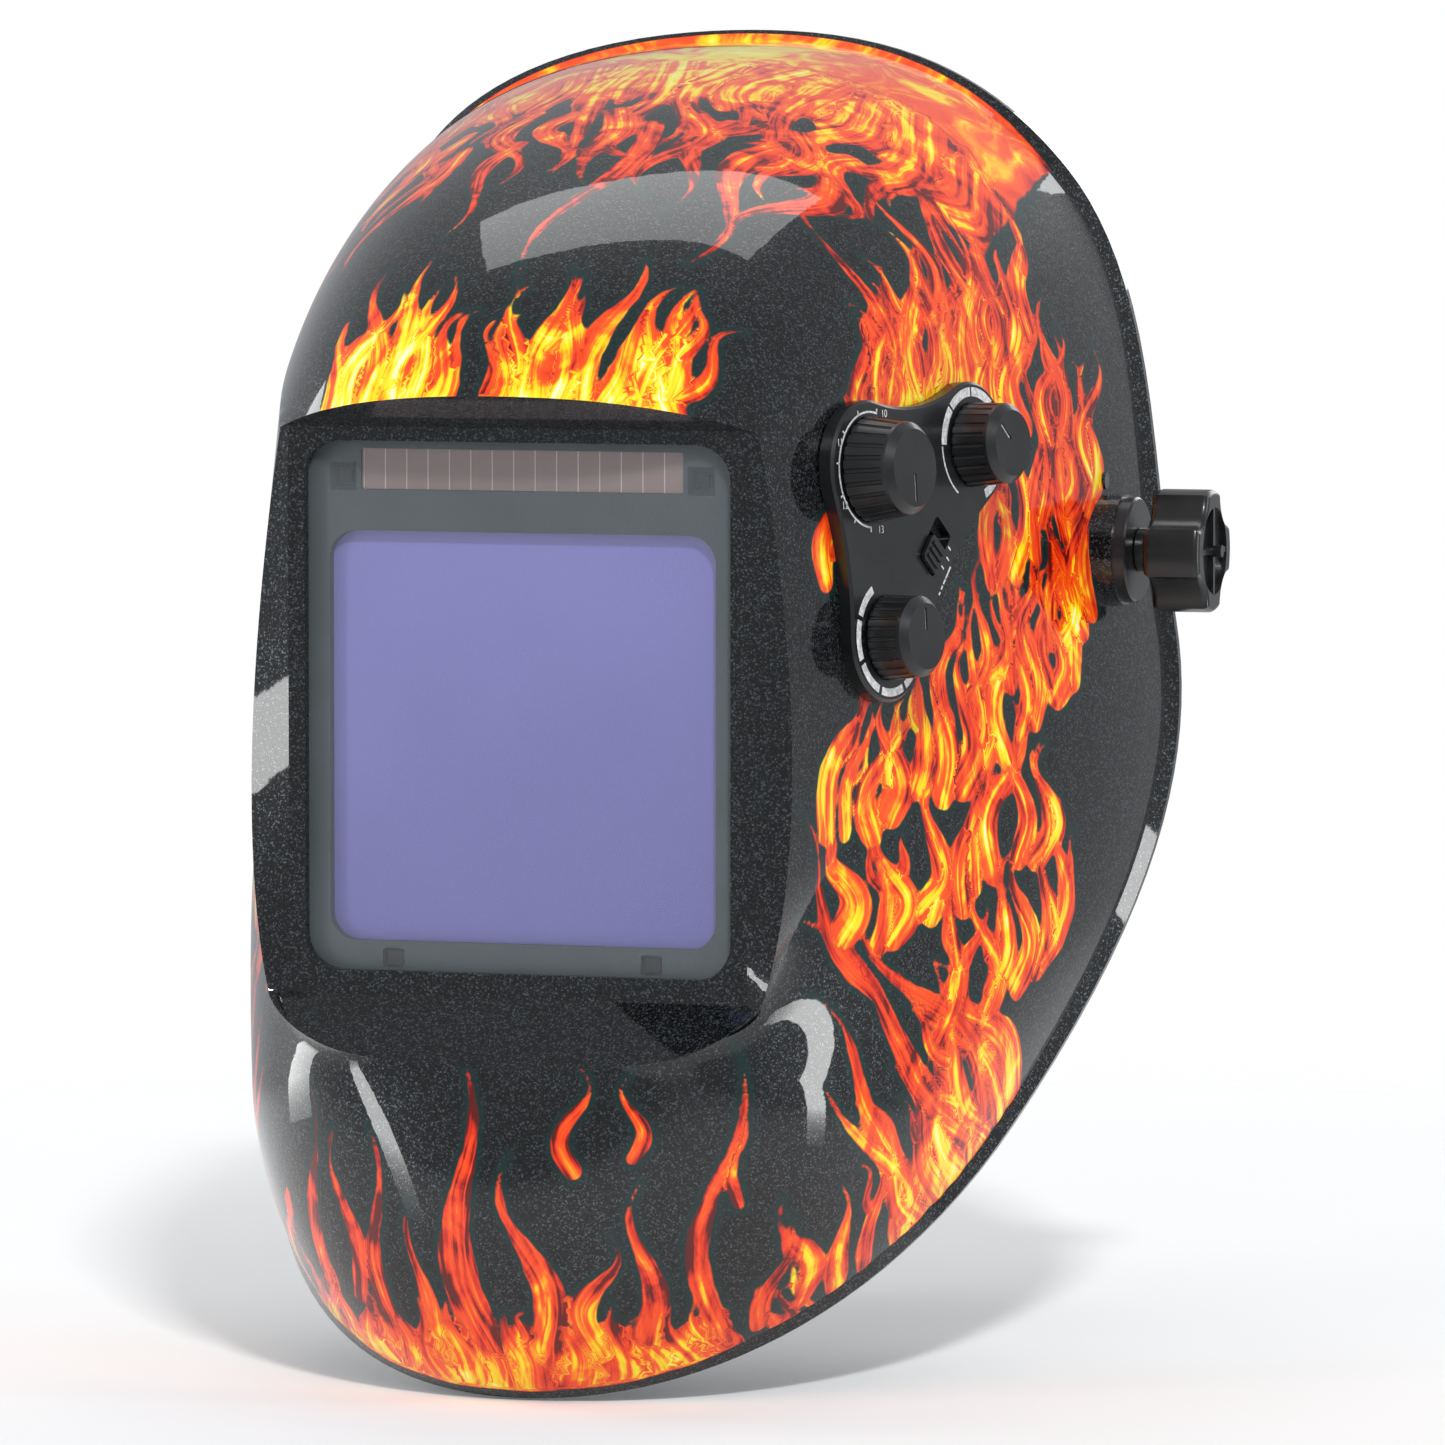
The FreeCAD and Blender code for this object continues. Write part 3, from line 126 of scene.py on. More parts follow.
# ------------------------------------------------------------------ node helpers
class Nodes:
    """A short way to write a material's nodes."""

    def __init__(self, name):
        self.mat = bpy.data.materials.new(name)
        self.mat.use_nodes = True
        self.tree = self.mat.node_tree
        self.bsdf = self.tree.nodes["Principled BSDF"]

    def new(self, kind, **settings):
        n = self.tree.nodes.new("ShaderNode" + kind)
        for k, v in settings.items():
            setattr(n, k, v)
        return n

    def put(self, socket, value):
        if hasattr(value, "is_output"):
            self.tree.links.new(value, socket)
        elif value is not None:
            socket.default_value = value
        return socket

    def set(self, **values):
        for k, v in values.items():
            self.put(self.bsdf.inputs[k.replace("_", " ")], v)
        return self

    def coords(self):
        return self.new("TexCoord").outputs["Object"]

    def attr(self, name, out="Fac"):
        return self.new("Attribute", attribute_name=name).outputs[out]

    def math(self, op, a, b=None, c=None):
        n = self.new("Math", operation=op)
        for i, v in enumerate((a, b, c)):
            if v is not None:
                self.put(n.inputs[i], v)
        return n.outputs[0]

    def vmul(self, v, by):
        n = self.new("VectorMath", operation="MULTIPLY")
        self.put(n.inputs[0], v)
        self.put(n.inputs[1], by)
        return n.outputs[0]

    def split(self, v):
        n = self.new("SeparateXYZ")
        self.put(n.inputs[0], v)
        return n.outputs

    def join(self, x, y, z):
        n = self.new("CombineXYZ")
        for s, v in zip(n.inputs, (x, y, z)):
            self.put(s, v)
        return n.outputs[0]

    def noise(self, vector, scale, detail=3.0, rough=0.5, distort=0.0):
        n = self.new("TexNoise")
        for k, v in (("Vector", vector), ("Scale", scale), ("Detail", detail), ("Roughness", rough),
                     ("Distortion", distort)):
            self.put(n.inputs[k], v)
        return n.outputs["Fac"]

    def voronoi(self, vector, scale, out="Distance"):
        n = self.new("TexVoronoi")
        self.put(n.inputs["Vector"], vector)
        self.put(n.inputs["Scale"], scale)
        return n.outputs[out]

    def ramp(self, fac, stops):
        n = self.new("ValToRGB")
        elements = n.color_ramp.elements
        while len(elements) < len(stops):
            elements.new(0.5)
        for element, (at, colour) in zip(elements, stops):
            element.position = at
            element.color = (*colour, 1)
        self.put(n.inputs[0], fac)
        return n.outputs[0]

    def span(self, value, lo, hi, to_lo=0.0, to_hi=1.0):
        """A smooth step from to_lo at lo to to_hi at hi."""
        n = self.new("MapRange", interpolation_type="SMOOTHSTEP")
        for i, v in enumerate((value, lo, hi, to_lo, to_hi)):
            self.put(n.inputs[i], v)
        return n.outputs[0]

    def mix(self, fac, a, b):
        n = self.new("Mix", data_type="RGBA")
        ins = [s for s in n.inputs if s.type == "RGBA"]
        self.put(n.inputs[0], fac)
        self.put(ins[0], (*a, 1) if isinstance(a, tuple) and len(a) == 3 else a)
        self.put(ins[1], (*b, 1) if isinstance(b, tuple) and len(b) == 3 else b)
        return next(s for s in n.outputs if s.type == "RGBA")

    def bump(self, height, strength, distance):
        n = self.new("Bump")
        for k, v in (("Height", height), ("Strength", strength), ("Distance", distance)):
            self.put(n.inputs[k], v)
        return n.outputs[0]


def srgb(text):
    """Linear colour from a six-digit hex colour."""
    parts = [int(text[i:i + 2], 16) / 255 for i in (0, 2, 4)]
    return tuple(v / 12.92 if v <= 0.04045 else ((v + 0.055) / 1.055) ** 2.4 for v in parts)


def moulded(name, colour, rough, grain=0.35, depth=0.02, coat=0.0):
    """Moulded plastic: fine spark-eroded grain, uneven gloss and slightly paler, dusty patches."""
    m = Nodes(name)
    p = m.coords()
    cloud = m.noise(p, 60.0, 4.0, 0.6)
    grit = m.noise(p, 1000.0 / grain, 2.0, 0.6)
    pale = tuple(c * 1.25 + 0.0025 for c in colour)
    dark = tuple(c * 0.75 for c in colour)
    dust = tuple(c * 1.8 + 0.012 for c in colour)
    tone = m.mix(m.span(cloud, 0.3, 0.7), dark, pale)
    tone = m.mix(m.math("MULTIPLY", m.span(grit, 0.55, 0.8), 0.35), tone, dust)
    rub = m.math("MULTIPLY_ADD", cloud, 0.22, rough - 0.11)
    m.set(Base_Color=tone, Roughness=rub, Normal=m.bump(grit, 0.5, depth * MM))
    m.set(Coat_Weight=coat, Coat_Roughness=0.12)
    return m.mat


def metal(name, colour, rough):
    """Bare metal with fine lines across y and duller spots."""
    m = Nodes(name)
    p = m.coords()
    lines = m.noise(m.vmul(p, (40.0, 900.0, 40.0)), 6.0, 4.0, 0.7)
    spots = m.noise(p, 140.0, 4.0, 0.6)
    tone = m.mix(spots, tuple(c * 0.72 for c in colour), tuple(min(1, c * 1.15) for c in colour))
    m.set(Base_Color=tone, Metallic=1.0, Roughness=m.math("MULTIPLY_ADD", lines, 0.3, rough - 0.15),
          Normal=m.bump(lines, 0.25, 0.02 * MM))
    return m.mat


def give(material, *names):
    for name in names:
        slots = NODES[name].data.materials
        slots.clear()
        slots.append(material)


# ------------------------------------------------------------------ shell surface
# Four loops of Bezier poles, as in the CAD: (x, y behind the lens frame, z) in millimetres, from the
# top middle round to the chin middle. A None is worked out from its neighbours.
LENS_Y = -152.0
BROW = [None, (36, -18, 44), (52, -7, 39), (62.2, 1, 35), (70, 4, -8), (75.5, 4, -68), (64, -3, -106),
        (59, -8, -112), (50, -12, -116), None, (34, -15, -119.5), (17, -15, -121), None]
FRONT = [None, (38, 8, 88), (65, 18, 76), (80, 43, 50), (81, 50, 14), (81, 54, -20), (82, 40, -30),
         (91, 43, -66), (86, 28, -108), None, (64, -16, -131), (32, -25, -142), None]
BACK = [None, (38, 85, 125), (72, 82, 108), (93, 115, 72), (103, 122, 36), (106, 120, 6),
        (109, 116, -22), (117, 108, -60), (107, 82, -110), None, (79, 14, -170), (40, -20, -184), None]
RIM = [None, (34, 184, 132.7), (69, 163, 125.3), None, (110.5, 183, 68), (109.5, 180, 21), None,
       (125.5, 172.5, -60), (117, 142, -100), None, (82, 41.5, -185), (46, 0.5, -204), None]
RIM_MIDDLE_Z, LIP = -35.0, 3.0


def loop(points):
    """The thirteen poles of one loop: its ends on the middle plane, its joints halfway."""
    out = [None if p is None else np.array((p[0], LENS_Y + p[1], p[2]), float) for p in points]
    out[0] = out[1] * (0, 1, 1)
    out[12] = out[11] * (0, 1, 1)
    for i in (3, 6, 9):
        if out[i] is None:
            out[i] = (out[i - 1] + out[i + 1]) / 2
    return np.array(out)


def wall_rows():
    """The wall's four rows of poles, from the brow to the foot of the rim's lip."""
    rim = loop(RIM)
    flat = rim * (1, 0, 1) - (0, 0, RIM_MIDDLE_Z)
    k = 1 - LIP / np.linalg.norm(flat, axis=1)
    base = np.column_stack((rim[:, 0] * k, rim[:, 1] - LIP, RIM_MIDDLE_Z + flat[:, 2] * k))
    return np.array([loop(BROW), loop(FRONT), loop(BACK), base])


def bernstein(t):
    """Cubic Bezier weights."""
    return np.array([(1 - t) ** 3, 3 * t * (1 - t) ** 2, 3 * t * t * (1 - t), t ** 3])


FRAME_X = (0, 20, 40, 59.8, 59.8, 59.8, 59.8, 55, 48, 40, 30, 15, 0)
FRAME_Z = (35.5,) * 4 + (-11, -58.5) + (-105.0,) * 7


def patch_points(rows, steps):
    """Points and outward normals of a strip of Bezier patches, as one soup of quads."""
    t = np.linspace(0, 1, steps)
    across = bernstein(t)
    down = across if len(rows) == 4 else np.array([1 - t, t])
    slope_a, slope_d = (np.gradient(w, t, axis=1, edge_order=2) for w in (across, down))
    points, normals, quads = [], [], []
    for s in (0, 3, 6, 9):
        poles = rows[:, s:s + 4]
        pos, du, dv = (np.einsum("iu,jv,ijk->uvk", d, a, poles)
                       for d, a in ((down, across), (slope_d, across), (down, slope_a)))
        n = np.cross(du, dv)
        n /= np.linalg.norm(n, axis=2, keepdims=True) + 1e-12
        away = pos - np.array((0, -0.02, -0.03))
        n *= np.sign((n * away).sum(2).mean())
        for side in (1, -1):
            flip = np.array((side, 1, 1))
            first = sum(len(p) for p in points)
            points.append((pos * flip).reshape(-1, 3))
            normals.append((n * flip).reshape(-1, 3))
            i, j = np.meshgrid(np.arange(steps - 1), np.arange(steps - 1), indexing="ij")
            at = (first + i * steps + j).ravel()
            quads.append(np.column_stack((at, at + 1, at + steps + 1, at + steps)))
    return np.vstack(points), np.vstack(normals), np.vstack(quads)


def strips():
    """The two strips whose exact shape is drawn: the wall, and the bevel round the lens frame."""
    rows = wall_rows() * MM
    frame_loop = np.array([(x, LENS_Y, z) for x, z in zip(FRAME_X, FRAME_Z)]) * MM
    return patch_points(rows, 64), patch_points(np.array([frame_loop, rows[0]]), 48)


# ------------------------------------------------------------------ flame pattern
# A lick is (u0, v0, u1, v1, width, bend, heat) in millimetres on a flat map of its region: from
# its root to its tip, half its widest width, how far it bows, and 0 for red to 1 for white-yellow.
FAR = 30.0                   # distance given to a point that no lick is near
MELT = 1.6                   # how far two licks that touch run into each other
SEED = 7


def fan(rng, roots, reach, width, heat, bend=5.0):
    """Licks from a list of (u, v) roots, each reaching (du, dv) with some scatter."""
    out = []
    for u, v in roots:
        k = rng.uniform(0.7, 1.15)
        du = reach[0] * k + rng.uniform(-6, 6)
        dv = reach[1] * k
        w = width * rng.uniform(0.7, 1.25)
        out.append((u, v, u + du, v + dv, w, rng.choice((-1, 1)) * bend * rng.uniform(0.5, 1.2),
                    heat + rng.uniform(-0.15, 0.15)))
        if rng.random() < 0.6:   # a barb that leaves the lick part of the way along
            s, turn = rng.uniform(0.35, 0.6), rng.choice((-1, 1))
            bu, bv = u + du * s, v + dv * s
            out.append((bu, bv, bu + du * 0.3 + turn * abs(dv) * 0.22, bv + dv * 0.42, w * 0.45,
                        turn * -2.5, heat - 0.1))
    return out


def line(u0, v0, u1, v1, n, jitter, rng):
    """n points from (u0, v0) to (u1, v1), each shaken by up to jitter."""
    return [(u0 + (u1 - u0) * i / (n - 1) + rng.uniform(-jitter, jitter),
             v0 + (v1 - v0) * i / (n - 1) + rng.uniform(-jitter, jitter)) for i in range(n)]


def top_licks(rng):
    """Tongues that hang from the crown towards the brow."""
    out = fan(rng, line(-74, 178, 76, 178, 13, 2, rng), (0, -84), 7.0, 0.3)
    out += fan(rng, line(-56, 130, 58, 130, 9, 3, rng), (0, -52), 4.6, 0.35, bend=7)
    out += [(10, 120, 2, 42, 4.0, 7, 0.3), (42, 118, 36, 56, 4.6, -6, 0.3), (-40, 112, -58, 60, 4.2, 6, 0.3),
            (57, 112, 47, 66, 4.5, 6, 0.25), (-22, 108, -30, 62, 3.2, -5, 0.4)]
    return out


def brow_licks(rng):
    """Two hot clumps that stand on the brow edge."""
    out = []
    for left, right, n, tall in ((-48, -14, 7, 34), (-5, 48, 11, 36)):
        middle = (left + right) / 2
        for u, v in line(left + 3, 15, right - 3, 15, n, 1.5, rng):
            edge = 1 - abs(u - middle) / (right - left)
            h = tall * edge * rng.uniform(0.75, 1.15)
            out.append((u, v, u + rng.uniform(-5, 9), v + h + 6, 5.2 * rng.uniform(0.8, 1.1),
                        rng.choice((-1, 1)) * rng.uniform(2, 5), 1.0))
        out.append((left + 4, 20, left + 2, 36, 2.6, -3, 0.7))
        out.append((right - 4, 20, right + 7, 38, 2.4, -4, 0.7))
    return out


def chin_licks(rng):
    """Tall licks that rise from the chin's rim, and a few loose sparks above them."""
    out = [(-52, -176, -53, -127, 2.6, 3, 0.25), (-41, -180, -43, -137, 2.8, -4, 0.25),
           (-30, -188, -35, -136, 3.2, 4, 0.25), (-19, -196, -21, -153, 2.6, -3, 0.3),
           (-3, -190, -12, -117, 5.6, 6, 0.2), (11, -192, 7, -141, 4.4, -6, 0.3),
           (23, -190, 27, -160, 3.6, 5, 0.45), (34, -188, 38, -148, 3.4, -4, 0.45),
           (50, -190, 55, -113, 2.9, 6, 0.2), (21, -145, 20, -120, 2.7, 5, 0.35),
           (35, -142, 36, -121, 2.1, -4, 0.3), (57, -154, 58, -130, 1.6, 2, 0.5),
           (66, -182, 64, -167, 1.3, 1, 0.5)]
    out += fan(rng, line(-62, -196, 60, -200, 15, 3, rng), (0, 22), 4.6, 0.45, bend=3)
    return out


def side_licks(rng):
    """Flames round the control panel and down the cheek; u is y and v is z."""
    out = fan(rng, line(-132, 0, -104, 34, 7, 2, rng), (14, 34), 4.4, 0.4, bend=5)
    out += fan(rng, line(-112, 34, -30, 56, 13, 3, rng), (11, 36), 5.0, 0.42, bend=7)
    out += fan(rng, line(-98, 38, -22, 30, 11, 4, rng), (12, 44), 4.8, 0.6, bend=8)
    out += fan(rng, line(-60, -6, -8, 16, 9, 4, rng), (10, 46), 4.6, 0.55, bend=8)
    out += fan(rng, line(-56, -44, -16, -18, 8, 4, rng), (8, 44), 4.6, 0.5, bend=8)
    out += fan(rng, line(-84, -38, -40, -22, 6, 3, rng), (12, 34), 4.4, 0.5, bend=6)
    out += fan(rng, line(-132, -66, -64, -50, 11, 3, rng), (11, 38), 4.8, 0.75, bend=7)
    out += fan(rng, line(-126, -92, -52, -74, 11, 3, rng), (10, 38), 4.8, 0.6, bend=7)
    out += fan(rng, line(-96, -118, -44, -98, 8, 3, rng), (8, 38), 4.8, 0.5, bend=7)
    out += [(-54, 66, -56, 102, 3.6, 5, 0.25), (-70, 66, -64, 94, 3.2, -5, 0.3),
            (-40, 62, -42, 96, 3.4, 5, 0.3)]
    # the low band that streams forward from the rim
    out += fan(rng, line(-60, -134, -96, -168, 8, 2, rng), (-38, 36), 5.0, 0.75, bend=6)
    out += [(-74, -146, -146, -86, 5.0, 9, 0.35), (-72, -142, -122, -78, 4.6, -8, 0.4),
            (-118, -104, -148, -58, 2.6, 5, 0.2), (-108, -148, -138, -104, 3.2, 5, 0.5)]
    out += fan(rng, line(-100, -168, -134, -186, 5, 2, rng), (-10, 26), 3.2, 0.5, bend=4)
    return out


def stroke(lick):
    """A lick as a swaying row of discs: where along it, their centres and radii, and its length."""
    u0, v0, u1, v1, w, bend, heat = lick
    t = np.linspace(0, 1, 64)
    du, dv = u1 - u0, v1 - v0
    length = math.hypot(du, dv)
    sway = bend * np.sin(math.pi * t * 1.9) * (0.5 + 0.5 * t)
    cu = u0 + du * t - dv / length * sway
    cv = v0 + dv * t + du / length * sway
    radius = w * (1 - t) ** 0.8 * (0.72 + 0.42 * np.sin(math.pi * np.clip(t * 1.5, 0, 1)))
    return t, cu, cv, radius, length


def lay(u, v, licks):
    """Signed distance to the flames' edge, distance along and across a lick, and heat."""
    d = np.full(len(u), FAR)
    near, along, across, heat = d.copy(), np.zeros(len(u)), np.zeros(len(u)), np.zeros(len(u))
    for i, lick in enumerate(licks):
        t, cu, cv, radius, length = stroke(lick)
        pad = lick[4] + 8
        inside = (u > cu.min() - pad) & (u < cu.max() + pad)
        inside &= (v > cv.min() - pad) & (v < cv.max() + pad)
        hit = np.nonzero(inside)[0]
        if not len(hit):
            continue
        off_u, off_v = u[hit, None] - cu, v[hit, None] - cv
        reach = np.hypot(off_u, off_v) - radius
        k = reach.argmin(1)
        rows = np.arange(len(hit))
        mine = reach[rows, k]
        h = np.clip(0.5 + 0.5 * (d[hit] - mine) / MELT, 0, 1)
        d[hit] = d[hit] * (1 - h) + mine * h - MELT * h * (1 - h)
        first = mine < near[hit]
        at = hit[first]
        side = (off_u * np.gradient(cv) - off_v * np.gradient(cu))[rows, k]
        near[at] = mine[first]
        along[at] = (t[k] * length)[first] + i * 37.0
        across[at] = (side / (np.hypot(np.gradient(cu), np.gradient(cv))[k] + 1e-6))[first]
        heat[at] = (lick[6] * (1 - 0.45 * t[k]))[first]
    return d, along, across, heat


def flames(p, n):
    """The four flame values at points p (mm) with normals n."""
    x, y, z = p.T
    out = [np.full(len(p), FAR)] + [np.zeros(len(p)) for _ in range(3)]
    turn = 120.0 * np.arctan2(z - 20, -(y + 20))
    crown = (z > 36) & (n[:, 2] > -0.3)
    chin = (z < -104) & (np.abs(x) < 72) & (np.abs(n[:, 0]) < 0.8)
    side = (np.abs(x) > 52) & (np.abs(n[:, 0]) > 0.3)
    rng = random.Random(SEED)
    maps = ((crown, x, turn, top_licks(rng) + brow_licks(rng)), (chin, x, z, chin_licks(rng)),
            (side, y, z, side_licks(rng)))
    for region, u_all, v_all, licks in maps:
        u, v = u_all[region], v_all[region]
        got = lay(u, v, licks)
        if region is crown:   # the crown is solid flame behind the tongues, hottest in the middle
            ragged = 4 * np.sin(u * 0.21) + 3 * np.sin(u * 0.47)
            got[0][:] = np.minimum(got[0], np.maximum(143 - v + ragged, (np.abs(u) - 86) * 0.8))
            hot = np.clip(0.62 - np.abs(u - 4) / 60, 0, 1) * np.clip((v - 130) / 40, 0, 1)
            got[3][:] = np.maximum(got[3], hot)
        if region is chin:    # and so is the chin's lower edge
            ragged = 0.05 * np.abs(u) + 3 * np.sin(u * 0.3)
            got[0][:] = np.minimum(got[0], np.maximum(v + 187 - ragged, np.abs(u) - 52))
        index = np.nonzero(region)[0]
        better = got[0] < out[0][index]
        for o, g in zip(out, got):
            o[index[better]] = g[better]
    return out


def clean_triangles(mesh):
    """The mesh's points and triangles, with the seams between CAD faces closed."""
    bm = bmesh.new()
    bm.from_mesh(mesh)
    bmesh.ops.remove_doubles(bm, verts=bm.verts, dist=1e-6)
    bmesh.ops.triangulate(bm, faces=bm.faces)
    points = np.array([v.co[:] for v in bm.verts])
    triangles = np.array([[v.index for v in f.verts] for f in bm.faces])
    bm.free()
    return points, triangles


def split_edges(points, triangles, must_split):
    """One round of splitting the edges that must_split(points, edges) picks, with no gaps left."""
    corner = triangles[:, ((0, 1), (1, 2), (2, 0))]
    edges, which = np.unique(np.sort(corner.reshape(-1, 2), axis=1), axis=0, return_inverse=True)
    which = which.reshape(-1, 3)
    cut = must_split(points, edges)
    middle = np.full(len(edges), -1)
    middle[cut] = len(points) + np.arange(cut.sum())
    points = np.vstack((points, points[edges[cut]].mean(1)))
    m = middle[which]
    out = [triangles[(m < 0).all(1)]]
    for turn in range(3):
        order = [(turn + k) % 3 for k in range(3)]
        t, e = triangles[:, order], m[:, order]
        one = (e[:, 0] >= 0) & (e[:, 1] < 0) & (e[:, 2] < 0)
        a, b, c, ab = t[one, 0], t[one, 1], t[one, 2], e[one, 0]
        out += [np.column_stack((a, ab, c)), np.column_stack((ab, b, c))]
        two = (e[:, 0] >= 0) & (e[:, 1] >= 0) & (e[:, 2] < 0)
        a, b, c, ab, bc = t[two, 0], t[two, 1], t[two, 2], e[two, 0], e[two, 1]
        out += [np.column_stack((ab, b, bc)), np.column_stack((a, ab, bc)), np.column_stack((a, bc, c))]
    three = (m >= 0).all(1)
    (a, b, c), (ab, bc, ca) = triangles[three].T, m[three].T
    out += [np.column_stack(q) for q in ((a, ab, ca), (ab, b, bc), (ca, bc, c), (ab, bc, ca))]
    return points, np.vstack(out)


REACH = 0.15 * MM            # how far a CAD point may lie from the wall that it belongs to
SPLIT_ROUNDS = 8
FINE, COARSE = 1.6 * MM, 4 * MM                       # longest edge near a flame's edge, and elsewhere


class Wall:
    """The exact outside of the shell: nearest point, normals, and the flame values there."""

    def __init__(self):
        self.strips = strips()
        self.trees = [BVHTree.FromPolygons(p.tolist(), quads.tolist()) for p, _, quads in self.strips]
        self.normal = [np.zeros((0, 3)) for _ in self.strips]
        self.on = [np.zeros(0, bool) for _ in self.strips]
        self.flame = np.zeros((4, 0))

    def extend(self, points):
        """Take in the points after those already known, and move the ones on the wall onto it."""
        known = len(self.on[0])
        new = points[known:].copy()
        for k in (1, 0):
            surface, normals, quads = self.strips[k]
            normal = np.zeros_like(new)
            on = np.zeros(len(new), bool)
            for i, p in enumerate(new):
                at, _, face, _ = self.trees[k].find_nearest(p, REACH)
                if at is None:
                    continue
                corners = quads[face]
                w = 1 / (((surface[corners] - np.array(at)) ** 2).sum(1) + 1e-9)
                normal[i] = (normals[corners] * w[:, None]).sum(0)
                on[i] = True
                new[i] = at
            normal /= np.linalg.norm(normal, axis=1, keepdims=True) + 1e-12
            self.normal[k] = np.vstack((self.normal[k], normal))
            self.on[k] = np.concatenate((self.on[k], on))
        flame = np.zeros((4, len(new)))
        flame[0] = FAR
        if on.any():
            flame[:, on] = np.array(flames(new[on] / MM, normal[on]))
        self.flame = np.hstack((self.flame, flame))
        points[known:] = new
        return points

    def too_long(self, fine, coarse):
        """A test for edges on the wall that are longer than fine near a flame's edge, or coarse."""
        def pick(points, edges):
            a, b = edges.T
            length = np.linalg.norm(points[a] - points[b], axis=1)
            edge = np.minimum(np.abs(self.flame[0][a]), np.abs(self.flame[0][b])) * MM
            near = edge < length + 0.6 * MM
            drawn = (self.on[0][a] & self.on[0][b]) | (self.on[1][a] & self.on[1][b])
            return drawn & (length > np.where(near, fine, coarse))
        return pick


def painted_shell():
    """The shell with its wall drawn smoothly and the flame values stored at its points."""
    points, triangles = clean_triangles(NODES["shell"].data)
    wall = Wall()
    points = wall.extend(points)
    fine, coarse = ((FINE, COARSE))
    for _ in range(SPLIT_ROUNDS):
        points, triangles = split_edges(points, triangles, wall.too_long(fine, coarse))
        points = wall.extend(points)
    mesh = bpy.data.meshes.new("shell_painted")
    mesh.from_pydata(points.tolist(), [], triangles.tolist())
    obj = bpy.data.objects.new("shell_painted", mesh)
    bpy.context.scene.collection.objects.link(obj)
    for name, value in zip(("flame_edge", "flame_along", "flame_across", "flame_heat"), wall.flame):
        a = mesh.attributes.new(name, "FLOAT", "POINT")
        a.data.foreach_set("value", value.astype(np.float32))
    smooth_normals(mesh, wall)
    mesh.materials.append(shell_paint())
    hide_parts("shell")
    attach(obj, "shell")
    return obj


def smooth_normals(mesh, wall):
    """Exact normals on the drawn strips, and the CAD faces' own normals everywhere else."""
    mesh.shade_smooth()
    mesh.update()
    cad = NODES["shell"].data
    tree = BVHTree.FromPolygons([v.co[:] for v in cad.vertices], [p.vertices[:] for p in cad.polygons])
    cad_corner = np.zeros(len(cad.loops) * 3)
    cad.corner_normals.foreach_get("vector", cad_corner)
    cad_corner = cad_corner.reshape(-1, 3)
    co = positions(mesh)
    faces = np.zeros(len(mesh.polygons) * 3)
    mesh.polygons.foreach_get("normal", faces)
    faces = faces.reshape(-1, 3)
    verts = np.zeros(len(mesh.loops), int)
    mesh.loops.foreach_get("vertex_index", verts)
    verts = verts.reshape(-1, 3)
    out = np.repeat(faces[:, None], 3, axis=1)
    fit = np.full(len(faces), 0.5)
    for on, normal in zip(wall.on, wall.normal):
        agree = (faces[:, None] * normal[verts]).sum(2).min(1)
        better = on[verts].all(1) & (agree > fit)
        out[better] = normal[verts][better]
        fit[better] = agree[better]
    use = (fit > 0.5)[:, None]
    for f in np.nonzero(~use.all(1))[0]:
        polygon = cad.polygons[tree.find_nearest(co[verts[f]].mean(0))[2]]
        loops = list(polygon.loop_indices)
        corners = np.array([cad.vertices[v].co[:] for v in polygon.vertices])
        if (cad_corner[loops].mean(0) * faces[f]).sum() < 0.5:
            continue
        for k in range(3):
            w = 1 / (((corners - co[verts[f][k]]) ** 2).sum(1) + 1e-10)
            n = (cad_corner[loops] * w[:, None]).sum(0)
            out[f][k] = n / np.linalg.norm(n)
    mesh.normals_split_custom_set(out.reshape(-1, 3).tolist())


